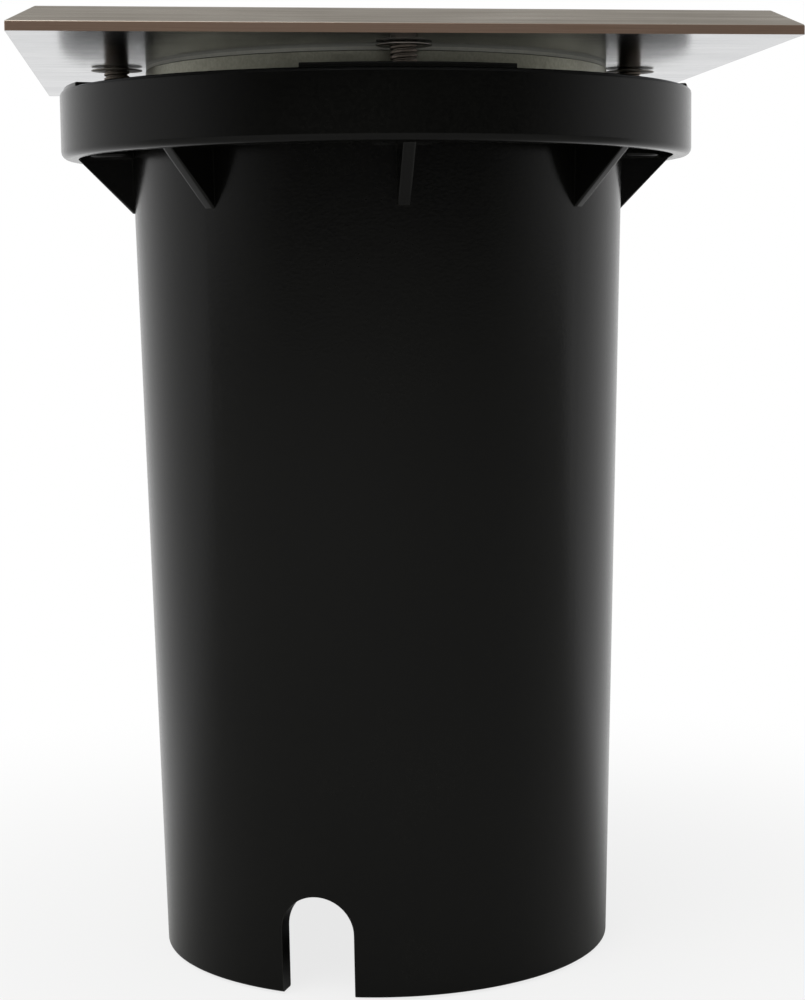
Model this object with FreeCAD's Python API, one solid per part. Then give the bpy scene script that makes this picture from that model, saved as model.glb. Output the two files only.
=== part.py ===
# Recessed ground light: a square bevelled cover plate held by four captive screws on the
# collar of a round moulded sleeve, with a sealed lamp housing hung inside the sleeve.
#
# Millimetres, +Z up. The origin is the centre of the sleeve's open foot, and the front
# screw lies on -Y. Radial sizes grow outwards from the lamp, and heights stack upwards
# from the foot, so each piece follows the one that it holds or sits in.

import FreeCAD
import Part
import math
import os

V = FreeCAD.Vector
UP = V(0, 0, 1)
ORIGIN = V(0, 0, 0)
OVERCUT = 1.0  # how far a cutting tool runs past the face that it opens
BURIED = 0.5  # how far a rib or a pad reaches into the wall that it is moulded with

# ---------------------------------------------------------------- lamp
LAMP_DIAMETER = 50.0
LAMP_LENGTH = 47.0  # face to base, without the pins
LAMP_RIM_HEIGHT = 8.0
LAMP_CONE_HEIGHT = 25.0
LAMP_WALL = 1.5
LAMP_BASE_DIAMETER = 26.0
LAMP_BASE_HEIGHT = 6.0
LAMP_BASE_EDGE = 0.8
LAMP_FACE_EDGE = 0.5
LAMP_NECK_FLARE = 1.0  # how much the neck widens up to the cone, on the radius
LAMP_NECK_ROUND = 2.0
LAMP_CONE_ROUND = 3.0
LAMP_SEAT_GAP = 0.2  # lampholder's top to the lamp's base
LAMP_SPIGOT_HEIGHT = 4.0
LAMP_LENS_THICKNESS = 1.6
LAMP_LENS_RECESS = 0.6
LED_BOARD_THICKNESS = 1.2
LED_BOARD_DEPTH = 4.0  # from the lamp's face to the top of the board
LED_SIDE = 3.0
LED_HEIGHT = 0.7
SOLDER = 0.1  # how far a chip reaches into the board
LED_COUNT = 6
LED_CIRCLE_RADIUS = 12.0
PIN_SPACING = 10.0
PIN_NECK_DIAMETER = 3.0
PIN_HEAD_DIAMETER = 5.0
PIN_HEAD_HEIGHT = 2.8
PIN_LENGTH = 7.0
PIN_ROOT = 3.0  # length of a pin inside the lamp's base
TWIST_ANGLE = 20.0  # turn that unlocks the lamp, in degrees

# ---------------------------------------------------------------- lampholder and its bracket
HOLDER_DIAMETER = 32.0
HOLDER_EDGE = 1.0
HOLDER_HEIGHT = 20.0
HOLDER_FACE_THICKNESS = 2.5
HOLDER_CAVITY_DEPTH = 7.3
HOLDER_CAVITY_INNER = 1.9  # half the wall between the two contact cavities
HOLDER_CAVITY_OUTER = 8.2
HOLDER_CAVITY_SHORT = 3.0
HOLDER_CAVITY_LONG = 4.8
HOLDER_SCREW_X = 11.5
CONTACT_THICKNESS = 0.5
CONTACT_WIDTH = 3.2
CONTACT_GAP = 0.3  # pin's end to the contact leaf
BRACKET_SHEET = 1.2
BRACKET_WIDTH = 14.0
BRACKET_HALF_SPAN = 17.0
BRACKET_BEND = 1.0
BRACKET_FOOT = 8.6
BRACKET_FOOT_SCREW_X = 22.3

# ---------------------------------------------------------------- terminal block and leads
BLOCK_PITCH = 6.5
BLOCK_POLES = 3
BLOCK_END = 2.0
BLOCK_WIDTH = 14.0
BLOCK_HEIGHT = 11.0
BLOCK_CORNER = 1.0
BLOCK_SCORE_WIDTH = 0.6
BLOCK_SCORE_DEPTH = 1.5
BLOCK_PEG_DIAMETER = 3.0
BLOCK_PEG_X = 4.5
CLAMP_DIAMETER = 4.4
CLAMP_BORE = 2.8
CLAMP_LENGTH = 11.0
CLAMP_SCREW_Y = 3.2
CLAMP_SCREW_DIAMETER = 2.5
CLAMP_SCREW_RECESS = 0.6
LEAD_DIAMETER = 2.2
CONDUCTOR_DIAMETER = 1.2
LEAD_Y = -11.0  # where the two lamp leads run down beside the bracket
LEAD_BEND = 3.6
EARTH_BEND = 5.0
LEAD_ENTRY = 1.2  # insulation inside the block's mouth
CONDUCTOR_END_Y = -0.8

# ---------------------------------------------------------------- small screws and the earth point
SMALL_SCREW_DIAMETER = 3.0
SMALL_SCREW_HEAD_DIAMETER = 5.5
SMALL_SCREW_HEAD_HEIGHT = 1.8
SMALL_SCREW_BITE = 4.2  # thread below the clamped sheet
SMALL_SCREW_SLOT = 0.7
SMALL_SCREW_SLOT_DEPTH = 0.8
SMALL_SCREW_PASS = 0.1  # clearance of a hole that a small screw goes through, on the radius
BOSS_DIAMETER = 6.4
BOSS_HEIGHT = 3.0
EARTH_RING_DIAMETER = 6.5
EARTH_RING_THICKNESS = 0.8
EARTH_TONGUE_WIDTH = 3.0
EARTH_BARREL_DIAMETER = 3.8
EARTH_BARREL_HEIGHT = 3.5
EARTH_SCREW_FROM_BARREL = 5.6

# ---------------------------------------------------------------- cable gland
GLAND_THREAD_DIAMETER = 16.0
GLAND_ACROSS_FLATS = 22.0
GLAND_HEX_HEIGHT = 5.0
GLAND_WASHER_THICKNESS = 1.0
GLAND_BORE_DIAMETER = 10.0
GLAND_LOWER_THREAD = 17.6
GLAND_LOWER_LENGTH = 9.0
GLAND_SEAT_DEPTH = 6.4
LOCKNUT_HEIGHT = 5.0
LOCKNUT_HEADROOM = 2.0
NUT_HEIGHT = 14.0
NUT_GAP = 0.6
NUT_END_WALL = 3.5
NUT_MOUTH_DIAMETER = 10.8
NUT_DOME = 2.5
SEAL_DIAMETER = 13.0
SEAL_HEIGHT = 8.0
SEAL_BORE_DIAMETER = 7.6

# ---------------------------------------------------------------- lamp housing, glass and gaskets
LAMP_AIR_GAP = 3.5
LAMP_BELOW_SHELF = 4.5
HOUSING_WALL = 3.0
HOUSING_FLOOR = 3.0
HOUSING_DRAFT = 0.6  # how much narrower the housing is at its floor, on the radius
HOUSING_FLOOR_RADIUS = 3.0
RIM_WALL = 3.45
RIM_WEB = 3.5
RIM_EDGE = 0.15
GLASS_THICKNESS = 5.0
GLASS_CLEARANCE = 0.4
GLASS_EDGE = 0.5
UPPER_GASKET_THICKNESS = 0.5
LOWER_GASKET_THICKNESS = 1.0
GASKET_INSET = 0.1  # how far the upper gasket stays inside the rim

# ---------------------------------------------------------------- sleeve
CABLE_SPACE = 21.0  # foot to the gland nut
HOUSING_TO_SLEEVE = 1.7
SLEEVE_WALL = 3.3
SLEEVE_TAPER = 2.87  # how much wider the tube is under the collar, on the radius
LEDGE_BEARING = 0.8
RIM_CLEARANCE = 0.4
COLLAR_HEIGHT = 10.4
COLLAR_SKIRT = 3.0
COLLAR_FLANGE = 3.0
COLLAR_TOP_EDGE = 0.6
COLLAR_LOWER_EDGE = 1.2
CHANNEL_ROUND = 0.8
COLLAR_MARGIN = 9.0  # screw circle to the collar's outside
LEDGE_BACKING = 3.0
PAD_HEIGHT = 0.65
PAD_HALF_ANGLE = 18.0
RIB_COUNT = 8
RIB_THICKNESS = 1.9
RIB_DEPTH = 8.5
NOTCH_WIDTH = 11.5
NOTCH_HEIGHT = 15.5
NOTCH_ANGLE = -112.5  # midway between two ribs, to the left of the front screw

# ---------------------------------------------------------------- cover and its screws
COVER_GAP = 4.0  # collar's face to the plate's underside
COVER_OVERHANG = 4.5
COVER_EDGE = 1.35
COVER_BEVEL_WIDTH = 3.85
COVER_BEVEL_HEIGHT = 2.4
GLASS_OVERLAP = 6.0  # how far the plate covers the glass, on the radius
WINDOW_EDGE = 0.5
SCREW_COUNT = 4
SCREW_STANDOFF = 4.53  # rim to the screws' centres
SCREW_DIAMETER = 4.0
SCREW_LENGTH = 16.0
SCREW_HEAD_DIAMETER = 8.0
SCREW_HEAD_LAND = 0.2
SCREW_SINK = 0.1
SCREW_TIP = 0.5
SOCKET_ACROSS_FLATS = 2.5
SOCKET_DEPTH = 1.5
SCREW_HOLE_CLEARANCE = 0.25
HEAD_CLEARANCE = 0.14
WASHER_DIAMETER = 8.0
WASHER_THICKNESS = 0.3
WASHER_DROP = 0.25  # plate's underside to the captive washer
WASHER_SLOT = 0.6
WASHER_TEETH = 6
RUNNING_CLEARANCE = 0.05
INSERT_DIAMETER = 5.6
INSERT_LENGTH = 8.0
INSERT_GROOVE = 0.3
INSERT_GROOVE_HEIGHT = 1.2
INSERT_FIT = 0.02
INSERT_WALL = 2.2
SCREW_END_ROOM = 0.8
INSERT_FLOOR = 1.0
TAPPED_FIT = 0.02  # small fixed screws in their holes

# ---------------------------------------------------------------- heights, from the foot upwards
Z_NUT = CABLE_SPACE
Z_NUT_TOP = Z_NUT + NUT_HEIGHT
Z_GLAND_HEX = Z_NUT_TOP + NUT_GAP
Z_GLAND_WASHER = Z_GLAND_HEX + GLAND_HEX_HEIGHT
Z_HOUSING = Z_GLAND_WASHER + GLAND_WASHER_THICKNESS
Z_FLOOR = Z_HOUSING + HOUSING_FLOOR
Z_LOCKNUT_TOP = Z_FLOOR + LOCKNUT_HEIGHT
Z_BLOCK = Z_LOCKNUT_TOP + LOCKNUT_HEADROOM
Z_BRACKET = Z_BLOCK + BLOCK_HEIGHT
Z_HOLDER = Z_BRACKET + BRACKET_SHEET
Z_HOLDER_TOP = Z_HOLDER + HOLDER_HEIGHT
Z_LAMP_BASE = Z_HOLDER_TOP + LAMP_SEAT_GAP
Z_LAMP_FACE = Z_LAMP_BASE + LAMP_LENGTH
Z_SHELF = Z_LAMP_FACE + LAMP_BELOW_SHELF
Z_LEDGE = Z_SHELF - RIM_WEB
Z_GLASS = Z_SHELF + LOWER_GASKET_THICKNESS
Z_RIM_TOP = Z_GLASS + GLASS_THICKNESS
Z_COVER = Z_RIM_TOP + UPPER_GASKET_THICKNESS
Z_COVER_TOP = Z_COVER + COVER_EDGE + COVER_BEVEL_HEIGHT
Z_COLLAR_TOP = Z_COVER - COVER_GAP
Z_COLLAR = Z_COLLAR_TOP - COLLAR_HEIGHT
Z_FLANGE = Z_COLLAR_TOP - COLLAR_FLANGE
Z_PAD = Z_COLLAR_TOP + PAD_HEIGHT
Z_WIRE = Z_BLOCK + BLOCK_HEIGHT / 2
Z_BOSS = Z_FLOOR + BOSS_HEIGHT
Z_PIN_END = Z_LAMP_BASE - PIN_LENGTH
Z_CAVITY_TOP = Z_HOLDER_TOP - HOLDER_FACE_THICKNESS
Z_CAVITY = Z_CAVITY_TOP - HOLDER_CAVITY_DEPTH
Z_SCREW_HEAD = Z_COVER_TOP - SCREW_SINK
Z_SCREW_END = Z_SCREW_HEAD - SCREW_LENGTH
Z_INSERT_TOP = Z_PAD - SCREW_SINK
Z_INSERT = Z_INSERT_TOP - INSERT_LENGTH
Z_WASHER = Z_COVER - WASHER_DROP - WASHER_THICKNESS

# ---------------------------------------------------------------- radii, from the lamp outwards
LAMP_R = LAMP_DIAMETER / 2
HOUSING_BORE_R = LAMP_R + LAMP_AIR_GAP
HOUSING_R = HOUSING_BORE_R + HOUSING_WALL
TUBE_FOOT_R = HOUSING_R + HOUSING_TO_SLEEVE + SLEEVE_WALL
TUBE_TOP_R = TUBE_FOOT_R + SLEEVE_TAPER


def tube_radius(z):
    """The tube's outside radius at height z: it widens steadily from the foot to the collar."""
    return TUBE_FOOT_R + SLEEVE_TAPER * z / Z_COLLAR


LEDGE_R = tube_radius(Z_LEDGE) - SLEEVE_WALL
RIM_R = LEDGE_R + LEDGE_BEARING
COUNTERBORE_R = RIM_R + RIM_CLEARANCE
REBATE_R = RIM_R - RIM_WALL
GLASS_R = REBATE_R - GLASS_CLEARANCE
WINDOW_R = GLASS_R - GLASS_OVERLAP
SCREW_CIRCLE_R = RIM_R + SCREW_STANDOFF
COLLAR_R = SCREW_CIRCLE_R + COLLAR_MARGIN
SKIRT_R = COLLAR_R - COLLAR_SKIRT
COVER_HALF = COLLAR_R + COVER_OVERHANG
EARTH_BARREL_Y = -BLOCK_WIDTH / 2 - LEAD_BEND - EARTH_BEND
SCREW_NAMES = ("front", "right", "back", "left")


# ---------------------------------------------------------------- drawing helpers
def cylinder(radius, z0, z1, x=0.0, y=0.0):
    """An upright cylinder between two heights."""
    return Part.makeCylinder(radius, z1 - z0, V(x, y, z0), UP)


def ring(outer, inner, z0, z1, x=0.0, y=0.0):
    """An upright ring between two heights."""
    bore = cylinder(inner, z0 - OVERCUT, z1 + OVERCUT, x, y)
    return cylinder(outer, z0, z1, x, y).cut(bore)


def block(x0, x1, y0, y1, z0, z1):
    """A box between two opposite corners, given in any order."""
    low = V(min(x0, x1), min(y0, y1), min(z0, z1))
    return Part.makeBox(abs(x1 - x0), abs(y1 - y0), abs(z1 - z0), low)


def hexagon(across_flats, z0, z1):
    """An upright hexagonal prism on the origin's axis."""
    corner = across_flats / math.sqrt(3)
    angles = [math.radians(60 * k) for k in range(7)]
    points = [V(corner * math.cos(a), corner * math.sin(a), z0) for a in angles]
    return Part.Face(Part.makePolygon(points)).extrude(V(0, 0, z1 - z0))


def rounded_outline(corners, place):
    """A closed wire through (a, b, radius) corners, each rounded by its own radius.

    place turns the flat pair (a, b) into a point in space.
    """
    starts = []
    ends = []
    middles = []
    count = len(corners)
    for k in range(count):
        a, b, radius = corners[k]
        here = V(a, b, 0)
        back = V(*corners[k - 1][:2], 0) - here
        on = V(*corners[(k + 1) % count][:2], 0) - here
        if not radius:
            starts.append(here)
            ends.append(here)
            middles.append(None)
            continue
        half = back.getAngle(on) / 2
        reach = radius / math.tan(half)
        back.normalize()
        on.normalize()
        inward = back + on
        inward.normalize()
        starts.append(here + back * reach)
        ends.append(here + on * reach)
        middles.append(here + inward * (radius / math.sin(half) - radius))
    edges = []
    for k in range(count):
        if middles[k] is not None:
            arc = Part.Arc(*[place(p.x, p.y) for p in (starts[k], middles[k], ends[k])])
            edges.append(arc.toShape())
        after = starts[(k + 1) % count]
        if (after - ends[k]).Length > 1e-6:
            line = Part.LineSegment(place(ends[k].x, ends[k].y), place(after.x, after.y))
            edges.append(line.toShape())
    return Part.Wire(edges)


def turned(corners):
    """A solid of revolution about Z from (radius, height, rounding) corners."""
    face = Part.Face(rounded_outline(corners, lambda a, b: V(a, 0, b)))
    return face.revolve(ORIGIN, UP, 360)


def extruded_along_y(corners, y0, y1):
    """A straight bar along Y whose section has (x, z, rounding) corners."""
    face = Part.Face(rounded_outline(corners, lambda a, b: V(a, y0, b)))
    return face.extrude(V(0, y1 - y0, 0))


def spun(shape, degrees):
    """A copy of a shape turned about Z."""
    copy = shape.copy()
    copy.rotate(ORIGIN, UP, degrees)
    return copy


def moved(shape, x, y, z=0.0):
    """A copy of a shape moved in space."""
    copy = shape.copy()
    copy.translate(V(x, y, z))
    return copy


def joined(shapes):
    """One solid from shapes that are moulded or formed together."""
    return shapes[0].multiFuse(shapes[1:]).removeSplitter()


def sector(outer, inner, z0, z1, middle, half_angle):
    """A ring's stretch of arc, centred on an angle in degrees."""
    pie = Part.makeCylinder(outer, z1 - z0, V(0, 0, z0), UP, 2 * half_angle)
    pie = pie.cut(cylinder(inner, z0 - OVERCUT, z1 + OVERCUT))
    return spun(pie, middle - half_angle)


def on_screw_circle(k):
    """The angle in degrees, and the place in X and Y, of cover screw number k."""
    degrees = -90.0 + 360.0 / SCREW_COUNT * k
    angle = math.radians(degrees)
    return degrees, SCREW_CIRCLE_R * math.cos(angle), SCREW_CIRCLE_R * math.sin(angle)


def round_bar(path, radius):
    """A wire-like solid of round section along a path that starts at its first point."""
    start = path.Edges[0]
    tangent = start.tangentAt(start.FirstParameter)
    circle = Part.Circle(start.valueAt(start.FirstParameter), tangent, radius)
    return path.makePipeShell([Part.Wire(circle.toShape())], True, False)


def bent_route(start, corner, end, radius):
    """A path of two straight runs joined by one tangent arc."""
    back = (start - corner).normalize()
    on = (end - corner).normalize()
    half = back.getAngle(on) / 2
    reach = radius / math.tan(half)
    inward = (back + on).normalize()
    first = corner + back * reach
    last = corner + on * reach
    middle = corner + inward * (radius / math.sin(half) - radius)
    edges = [
        Part.LineSegment(start, first).toShape(),
        Part.Arc(first, middle, last).toShape(),
        Part.LineSegment(last, end).toShape(),
    ]
    return Part.Wire(edges)


# ---------------------------------------------------------------- sleeve
def sleeve_outside():
    """The tube, the downward channel of the collar and the backing behind the ledge."""
    backing_r = COUNTERBORE_R + SLEEVE_WALL
    z_backing = Z_LEDGE - LEDGE_BACKING
    corners = [
        (0, 0, 0),
        (TUBE_FOOT_R, 0, 0),
        (tube_radius(z_backing), z_backing, 0),
        (backing_r, z_backing + backing_r - tube_radius(z_backing), 0),
        (backing_r, Z_FLANGE, CHANNEL_ROUND),
        (SKIRT_R, Z_FLANGE, CHANNEL_ROUND),
        (SKIRT_R, Z_COLLAR, 0),
        (COLLAR_R, Z_COLLAR, COLLAR_LOWER_EDGE),
        (COLLAR_R, Z_COLLAR_TOP, COLLAR_TOP_EDGE),
        (0, Z_COLLAR_TOP, 0),
    ]
    return turned(corners)


def sleeve_inside():
    """The tapered bore and the counterbore that the housing's rim drops into."""
    foot = TUBE_FOOT_R - SLEEVE_WALL
    slope = (LEDGE_R - foot) / Z_LEDGE
    corners = [
        (0, -OVERCUT, 0),
        (foot - slope * OVERCUT, -OVERCUT, 0),
        (LEDGE_R, Z_LEDGE, 0),
        (COUNTERBORE_R, Z_LEDGE, 0),
        (COUNTERBORE_R, Z_PAD + OVERCUT, 0),
        (0, Z_PAD + OVERCUT, 0),
    ]
    return turned(corners)


def rib():
    """One gusset on +X: it fills the channel and slopes down from the skirt to the tube."""
    z_low = Z_COLLAR - RIB_DEPTH
    inner = tube_radius(z_low) - SLEEVE_WALL / 2
    corners = [
        (inner, z_low, 0),
        (tube_radius(z_low), z_low, 0),
        (SKIRT_R, Z_COLLAR, 0),
        (SKIRT_R + BURIED, Z_COLLAR, 0),
        (SKIRT_R + BURIED, Z_FLANGE + BURIED, 0),
        (inner, Z_FLANGE + BURIED, 0),
    ]
    return extruded_along_y(corners, -RIB_THICKNESS / 2, RIB_THICKNESS / 2)


def notch():
    """The round-topped cable notch in the foot, as a cutting tool on +X."""
    radius = NOTCH_WIDTH / 2
    z_centre = NOTCH_HEIGHT - radius
    reach = TUBE_FOOT_R + SLEEVE_TAPER + OVERCUT
    slot = block(0, reach, -radius, radius, -OVERCUT, z_centre)
    top = Part.makeCylinder(radius, reach, V(0, 0, z_centre), V(1, 0, 0))
    return slot.fuse(top)


def make_sleeve():
    """The moulded installation sleeve."""
    parts = [sleeve_outside()]
    parts += [spun(rib(), -90.0 + 360.0 / RIB_COUNT * k) for k in range(RIB_COUNT)]
    boss_r = INSERT_DIAMETER / 2 + INSERT_WALL
    z_hole = Z_SCREW_END - SCREW_END_ROOM
    for k in range(SCREW_COUNT):
        degrees, x, y = on_screw_circle(k)
        pad_outer = COLLAR_R - COLLAR_TOP_EDGE
        parts.append(cylinder(boss_r, z_hole - INSERT_FLOOR, Z_FLANGE + BURIED, x, y))
        parts.append(
            sector(pad_outer, LEDGE_R, Z_COLLAR_TOP - BURIED, Z_PAD, degrees, PAD_HALF_ANGLE)
        )
    body = joined(parts).cut(sleeve_inside())
    for k in range(SCREW_COUNT):
        _, x, y = on_screw_circle(k)
        insert_r = INSERT_DIAMETER / 2 + INSERT_FIT
        end_r = SCREW_DIAMETER / 2 + SCREW_HOLE_CLEARANCE
        body = body.cut(cylinder(insert_r, Z_INSERT, Z_PAD + OVERCUT, x, y))
        body = body.cut(cylinder(end_r, z_hole, Z_INSERT + BURIED, x, y))
    return body.cut(spun(notch(), NOTCH_ANGLE))


def make_inserts():
    """Four brass thread inserts with two undercut bands each."""
    outer = INSERT_DIAMETER / 2
    thread_r = SCREW_DIAMETER / 2 + RUNNING_CLEARANCE
    solids = []
    for k in range(SCREW_COUNT):
        _, x, y = on_screw_circle(k)
        insert = ring(outer, thread_r, Z_INSERT, Z_INSERT_TOP, x, y)
        for share in (1, 2):
            middle = Z_INSERT + INSERT_LENGTH * share / 3
            z0 = middle - INSERT_GROOVE_HEIGHT / 2
            z1 = middle + INSERT_GROOVE_HEIGHT / 2
            insert = insert.cut(ring(outer + OVERCUT, outer - INSERT_GROOVE, z0, z1, x, y))
        solids.append(insert)
    return Part.makeCompound(solids)


# ---------------------------------------------------------------- cover
def make_cover_plate():
    """The square plate with its bevelled edge, round window and countersunk holes."""
    top_half = COVER_HALF - COVER_BEVEL_WIDTH
    z_edge = Z_COVER + COVER_EDGE
    slab = block(-COVER_HALF, COVER_HALF, -COVER_HALF, COVER_HALF, Z_COVER, z_edge)

    def square(half, z):
        corners = [(-half, -half), (half, -half), (half, half), (-half, half), (-half, -half)]
        return Part.makePolygon([V(x, y, z) for x, y in corners])

    bevel = Part.makeLoft([square(COVER_HALF, z_edge), square(top_half, Z_COVER_TOP)], True, True)
    plate = slab.fuse(bevel).removeSplitter()
    window = cylinder(WINDOW_R, Z_COVER - OVERCUT, Z_COVER_TOP + OVERCUT)
    flare_foot = V(0, 0, Z_COVER_TOP - WINDOW_EDGE)
    flare = Part.makeCone(WINDOW_R, WINDOW_R + WINDOW_EDGE, WINDOW_EDGE, flare_foot)
    plate = plate.cut(window).cut(flare)
    for k in range(SCREW_COUNT):
        _, x, y = on_screw_circle(k)
        plate = plate.cut(moved(countersink(), x, y))
    return plate


def countersink():
    """The cutting tool of one screw hole: it follows the screw's head at a small distance."""
    shank_r = SCREW_DIAMETER / 2
    head_r = SCREW_HEAD_DIAMETER / 2
    z_land = Z_SCREW_HEAD - SCREW_HEAD_LAND
    hole_r = shank_r + SCREW_HOLE_CLEARANCE
    z_throat = z_land - (head_r + HEAD_CLEARANCE - hole_r)
    corners = [
        (0, Z_COVER - OVERCUT, 0),
        (hole_r, Z_COVER - OVERCUT, 0),
        (hole_r, z_throat, 0),
        (head_r + HEAD_CLEARANCE, z_land, 0),
        (head_r + HEAD_CLEARANCE, Z_COVER_TOP + OVERCUT, 0),
        (0, Z_COVER_TOP + OVERCUT, 0),
    ]
    return turned(corners)


def make_cover_screw(k):
    """One countersunk screw with a hexagon socket. Its thread is drawn as its outside cylinder."""
    shank_r = SCREW_DIAMETER / 2
    head_r = SCREW_HEAD_DIAMETER / 2
    z_land = Z_SCREW_HEAD - SCREW_HEAD_LAND
    corners = [
        (0, Z_SCREW_END, 0),
        (shank_r - SCREW_TIP, Z_SCREW_END, 0),
        (shank_r, Z_SCREW_END + SCREW_TIP, 0),
        (shank_r, z_land - (head_r - shank_r), 0),
        (head_r, z_land, 0),
        (head_r, Z_SCREW_HEAD, 0),
        (0, Z_SCREW_HEAD, 0),
    ]
    socket = hexagon(SOCKET_ACROSS_FLATS, Z_SCREW_HEAD - SOCKET_DEPTH, Z_SCREW_HEAD + OVERCUT)
    _, x, y = on_screw_circle(k)
    return moved(turned(corners).cut(socket), x, y)


def make_captive_washer(k):
    """The thin toothed washer that keeps one screw in the plate."""
    inner = SCREW_DIAMETER / 2 + RUNNING_CLEARANCE
    outer = WASHER_DIAMETER / 2
    washer = ring(outer, inner, Z_WASHER, Z_WASHER + WASHER_THICKNESS)
    root = (inner + outer) / 2
    half = WASHER_SLOT / 2
    slot = block(0, root, -half, half, Z_WASHER - OVERCUT, Z_WASHER + WASHER_THICKNESS + OVERCUT)
    for n in range(WASHER_TEETH):
        washer = washer.cut(spun(slot, 360.0 / WASHER_TEETH * n))
    degrees, x, y = on_screw_circle(k)
    return moved(spun(washer, degrees), x, y)


def make_glass():
    """The toughened glass disc with ground edges."""
    corners = [
        (0, Z_GLASS, 0),
        (GLASS_R - GLASS_EDGE, Z_GLASS, 0),
        (GLASS_R, Z_GLASS + GLASS_EDGE, 0),
        (GLASS_R, Z_RIM_TOP - GLASS_EDGE, 0),
        (GLASS_R - GLASS_EDGE, Z_RIM_TOP, 0),
        (0, Z_RIM_TOP, 0),
    ]
    return turned(corners)


# ---------------------------------------------------------------- housing
def make_housing():
    """The cast pot: a rim that hangs on the sleeve's ledge, a shelf for the glass and a deep cup."""
    foot_r = HOUSING_R - HOUSING_DRAFT
    foot_bore_r = HOUSING_BORE_R - HOUSING_DRAFT
    gland_r = GLAND_THREAD_DIAMETER / 2 + RUNNING_CLEARANCE
    corners = [
        (gland_r, Z_HOUSING, 0),
        (foot_r, Z_HOUSING, HOUSING_FLOOR_RADIUS),
        (HOUSING_R, Z_LEDGE, 0),
        (RIM_R, Z_LEDGE, 0),
        (RIM_R, Z_RIM_TOP, RIM_EDGE),
        (REBATE_R, Z_RIM_TOP, 0),
        (REBATE_R, Z_SHELF, 0),
        (HOUSING_BORE_R, Z_SHELF, 0),
        (foot_bore_r, Z_FLOOR, HOUSING_FLOOR_RADIUS / 2),
        (gland_r, Z_FLOOR, 0),
    ]
    body = turned(corners)
    places = [(BRACKET_FOOT_SCREW_X, 0), (-BRACKET_FOOT_SCREW_X, 0), (0, earth_screw_y())]
    bosses = [cylinder(BOSS_DIAMETER / 2, Z_FLOOR - BURIED, Z_BOSS, x, y) for x, y in places]
    body = joined([body] + bosses)
    hole_r = SMALL_SCREW_DIAMETER / 2 + TAPPED_FIT
    z_hole = Z_BOSS - SMALL_SCREW_BITE - BURIED
    for x, y in places:
        body = body.cut(cylinder(hole_r, z_hole, Z_BOSS + OVERCUT, x, y))
    return body


def earth_screw_y():
    """The earth screw stands outside the earth lead's barrel."""
    return EARTH_BARREL_Y - EARTH_SCREW_FROM_BARREL


def make_upper_gasket():
    """The thin flat ring between the plate, the glass and the housing's rim."""
    return ring(RIM_R - GASKET_INSET, WINDOW_R + WINDOW_EDGE, Z_RIM_TOP, Z_COVER)


def make_lower_gasket():
    """The ring that the glass presses on the housing's shelf."""
    return ring(REBATE_R - TAPPED_FIT, HOUSING_BORE_R, Z_SHELF, Z_GLASS)


def pan_screw(x, y, z_seat, z_end):
    """A small slotted pan-head screw whose head sits at z_seat."""
    head_r = SMALL_SCREW_HEAD_DIAMETER / 2
    shank_r = SMALL_SCREW_DIAMETER / 2
    z_top = z_seat + SMALL_SCREW_HEAD_HEIGHT
    corners = [
        (0, z_end, 0),
        (shank_r, z_end, 0),
        (shank_r, z_seat, 0),
        (head_r, z_seat, 0),
        (head_r, z_top, SMALL_SCREW_HEAD_HEIGHT / 2),
        (0, z_top, 0),
    ]
    half = SMALL_SCREW_SLOT / 2
    slot = block(-head_r, head_r, -half, half, z_top - SMALL_SCREW_SLOT_DEPTH, z_top + OVERCUT)
    return moved(turned(corners).cut(slot), x, y)


# ---------------------------------------------------------------- lampholder, bracket and contacts
def holder_cavity(side):
    """One contact cavity with its lead channel, as a cutting tool on the given side of X."""
    long_y = HOLDER_CAVITY_LONG * side
    short_y = -HOLDER_CAVITY_SHORT * side
    x0 = side * HOLDER_CAVITY_INNER
    x1 = side * HOLDER_CAVITY_OUTER
    room = block(x0, x1, short_y, long_y, Z_CAVITY, Z_CAVITY_TOP)
    lead_r = LEAD_DIAMETER / 2 + RUNNING_CLEARANCE
    lead_x = side * BLOCK_PITCH
    channel_x0 = side * (BLOCK_PITCH - CONTACT_WIDTH / 2 - BURIED)
    z_channel = Z_CAVITY + CONTACT_GAP + 2 * CONTACT_THICKNESS
    channel = block(channel_x0, x1, LEAD_Y - lead_r, 0, Z_CAVITY, z_channel)
    lead_hole = cylinder(lead_r, Z_HOLDER - OVERCUT, Z_CAVITY + BURIED, lead_x, LEAD_Y)
    return room.fuse([channel, lead_hole])


def pin_slot(side):
    """The keyhole slot of one pin: narrow where the pin is locked, round where it goes in."""
    orbit = PIN_SPACING / 2
    neck = PIN_NECK_DIAMETER / 2 + CONTACT_GAP
    head = PIN_HEAD_DIAMETER / 2 + CONTACT_GAP
    z0 = Z_CAVITY_TOP - BURIED
    z1 = Z_HOLDER_TOP + OVERCUT
    track = sector(orbit + neck, orbit - neck, z0, z1, TWIST_ANGLE / 2, TWIST_ANGLE / 2)
    locked = cylinder(neck, z0, z1, orbit, 0)
    entry = spun(cylinder(head, z0, z1, orbit, 0), TWIST_ANGLE)
    slot = track.fuse([locked, entry])
    return slot if side > 0 else spun(slot, 180)


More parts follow.
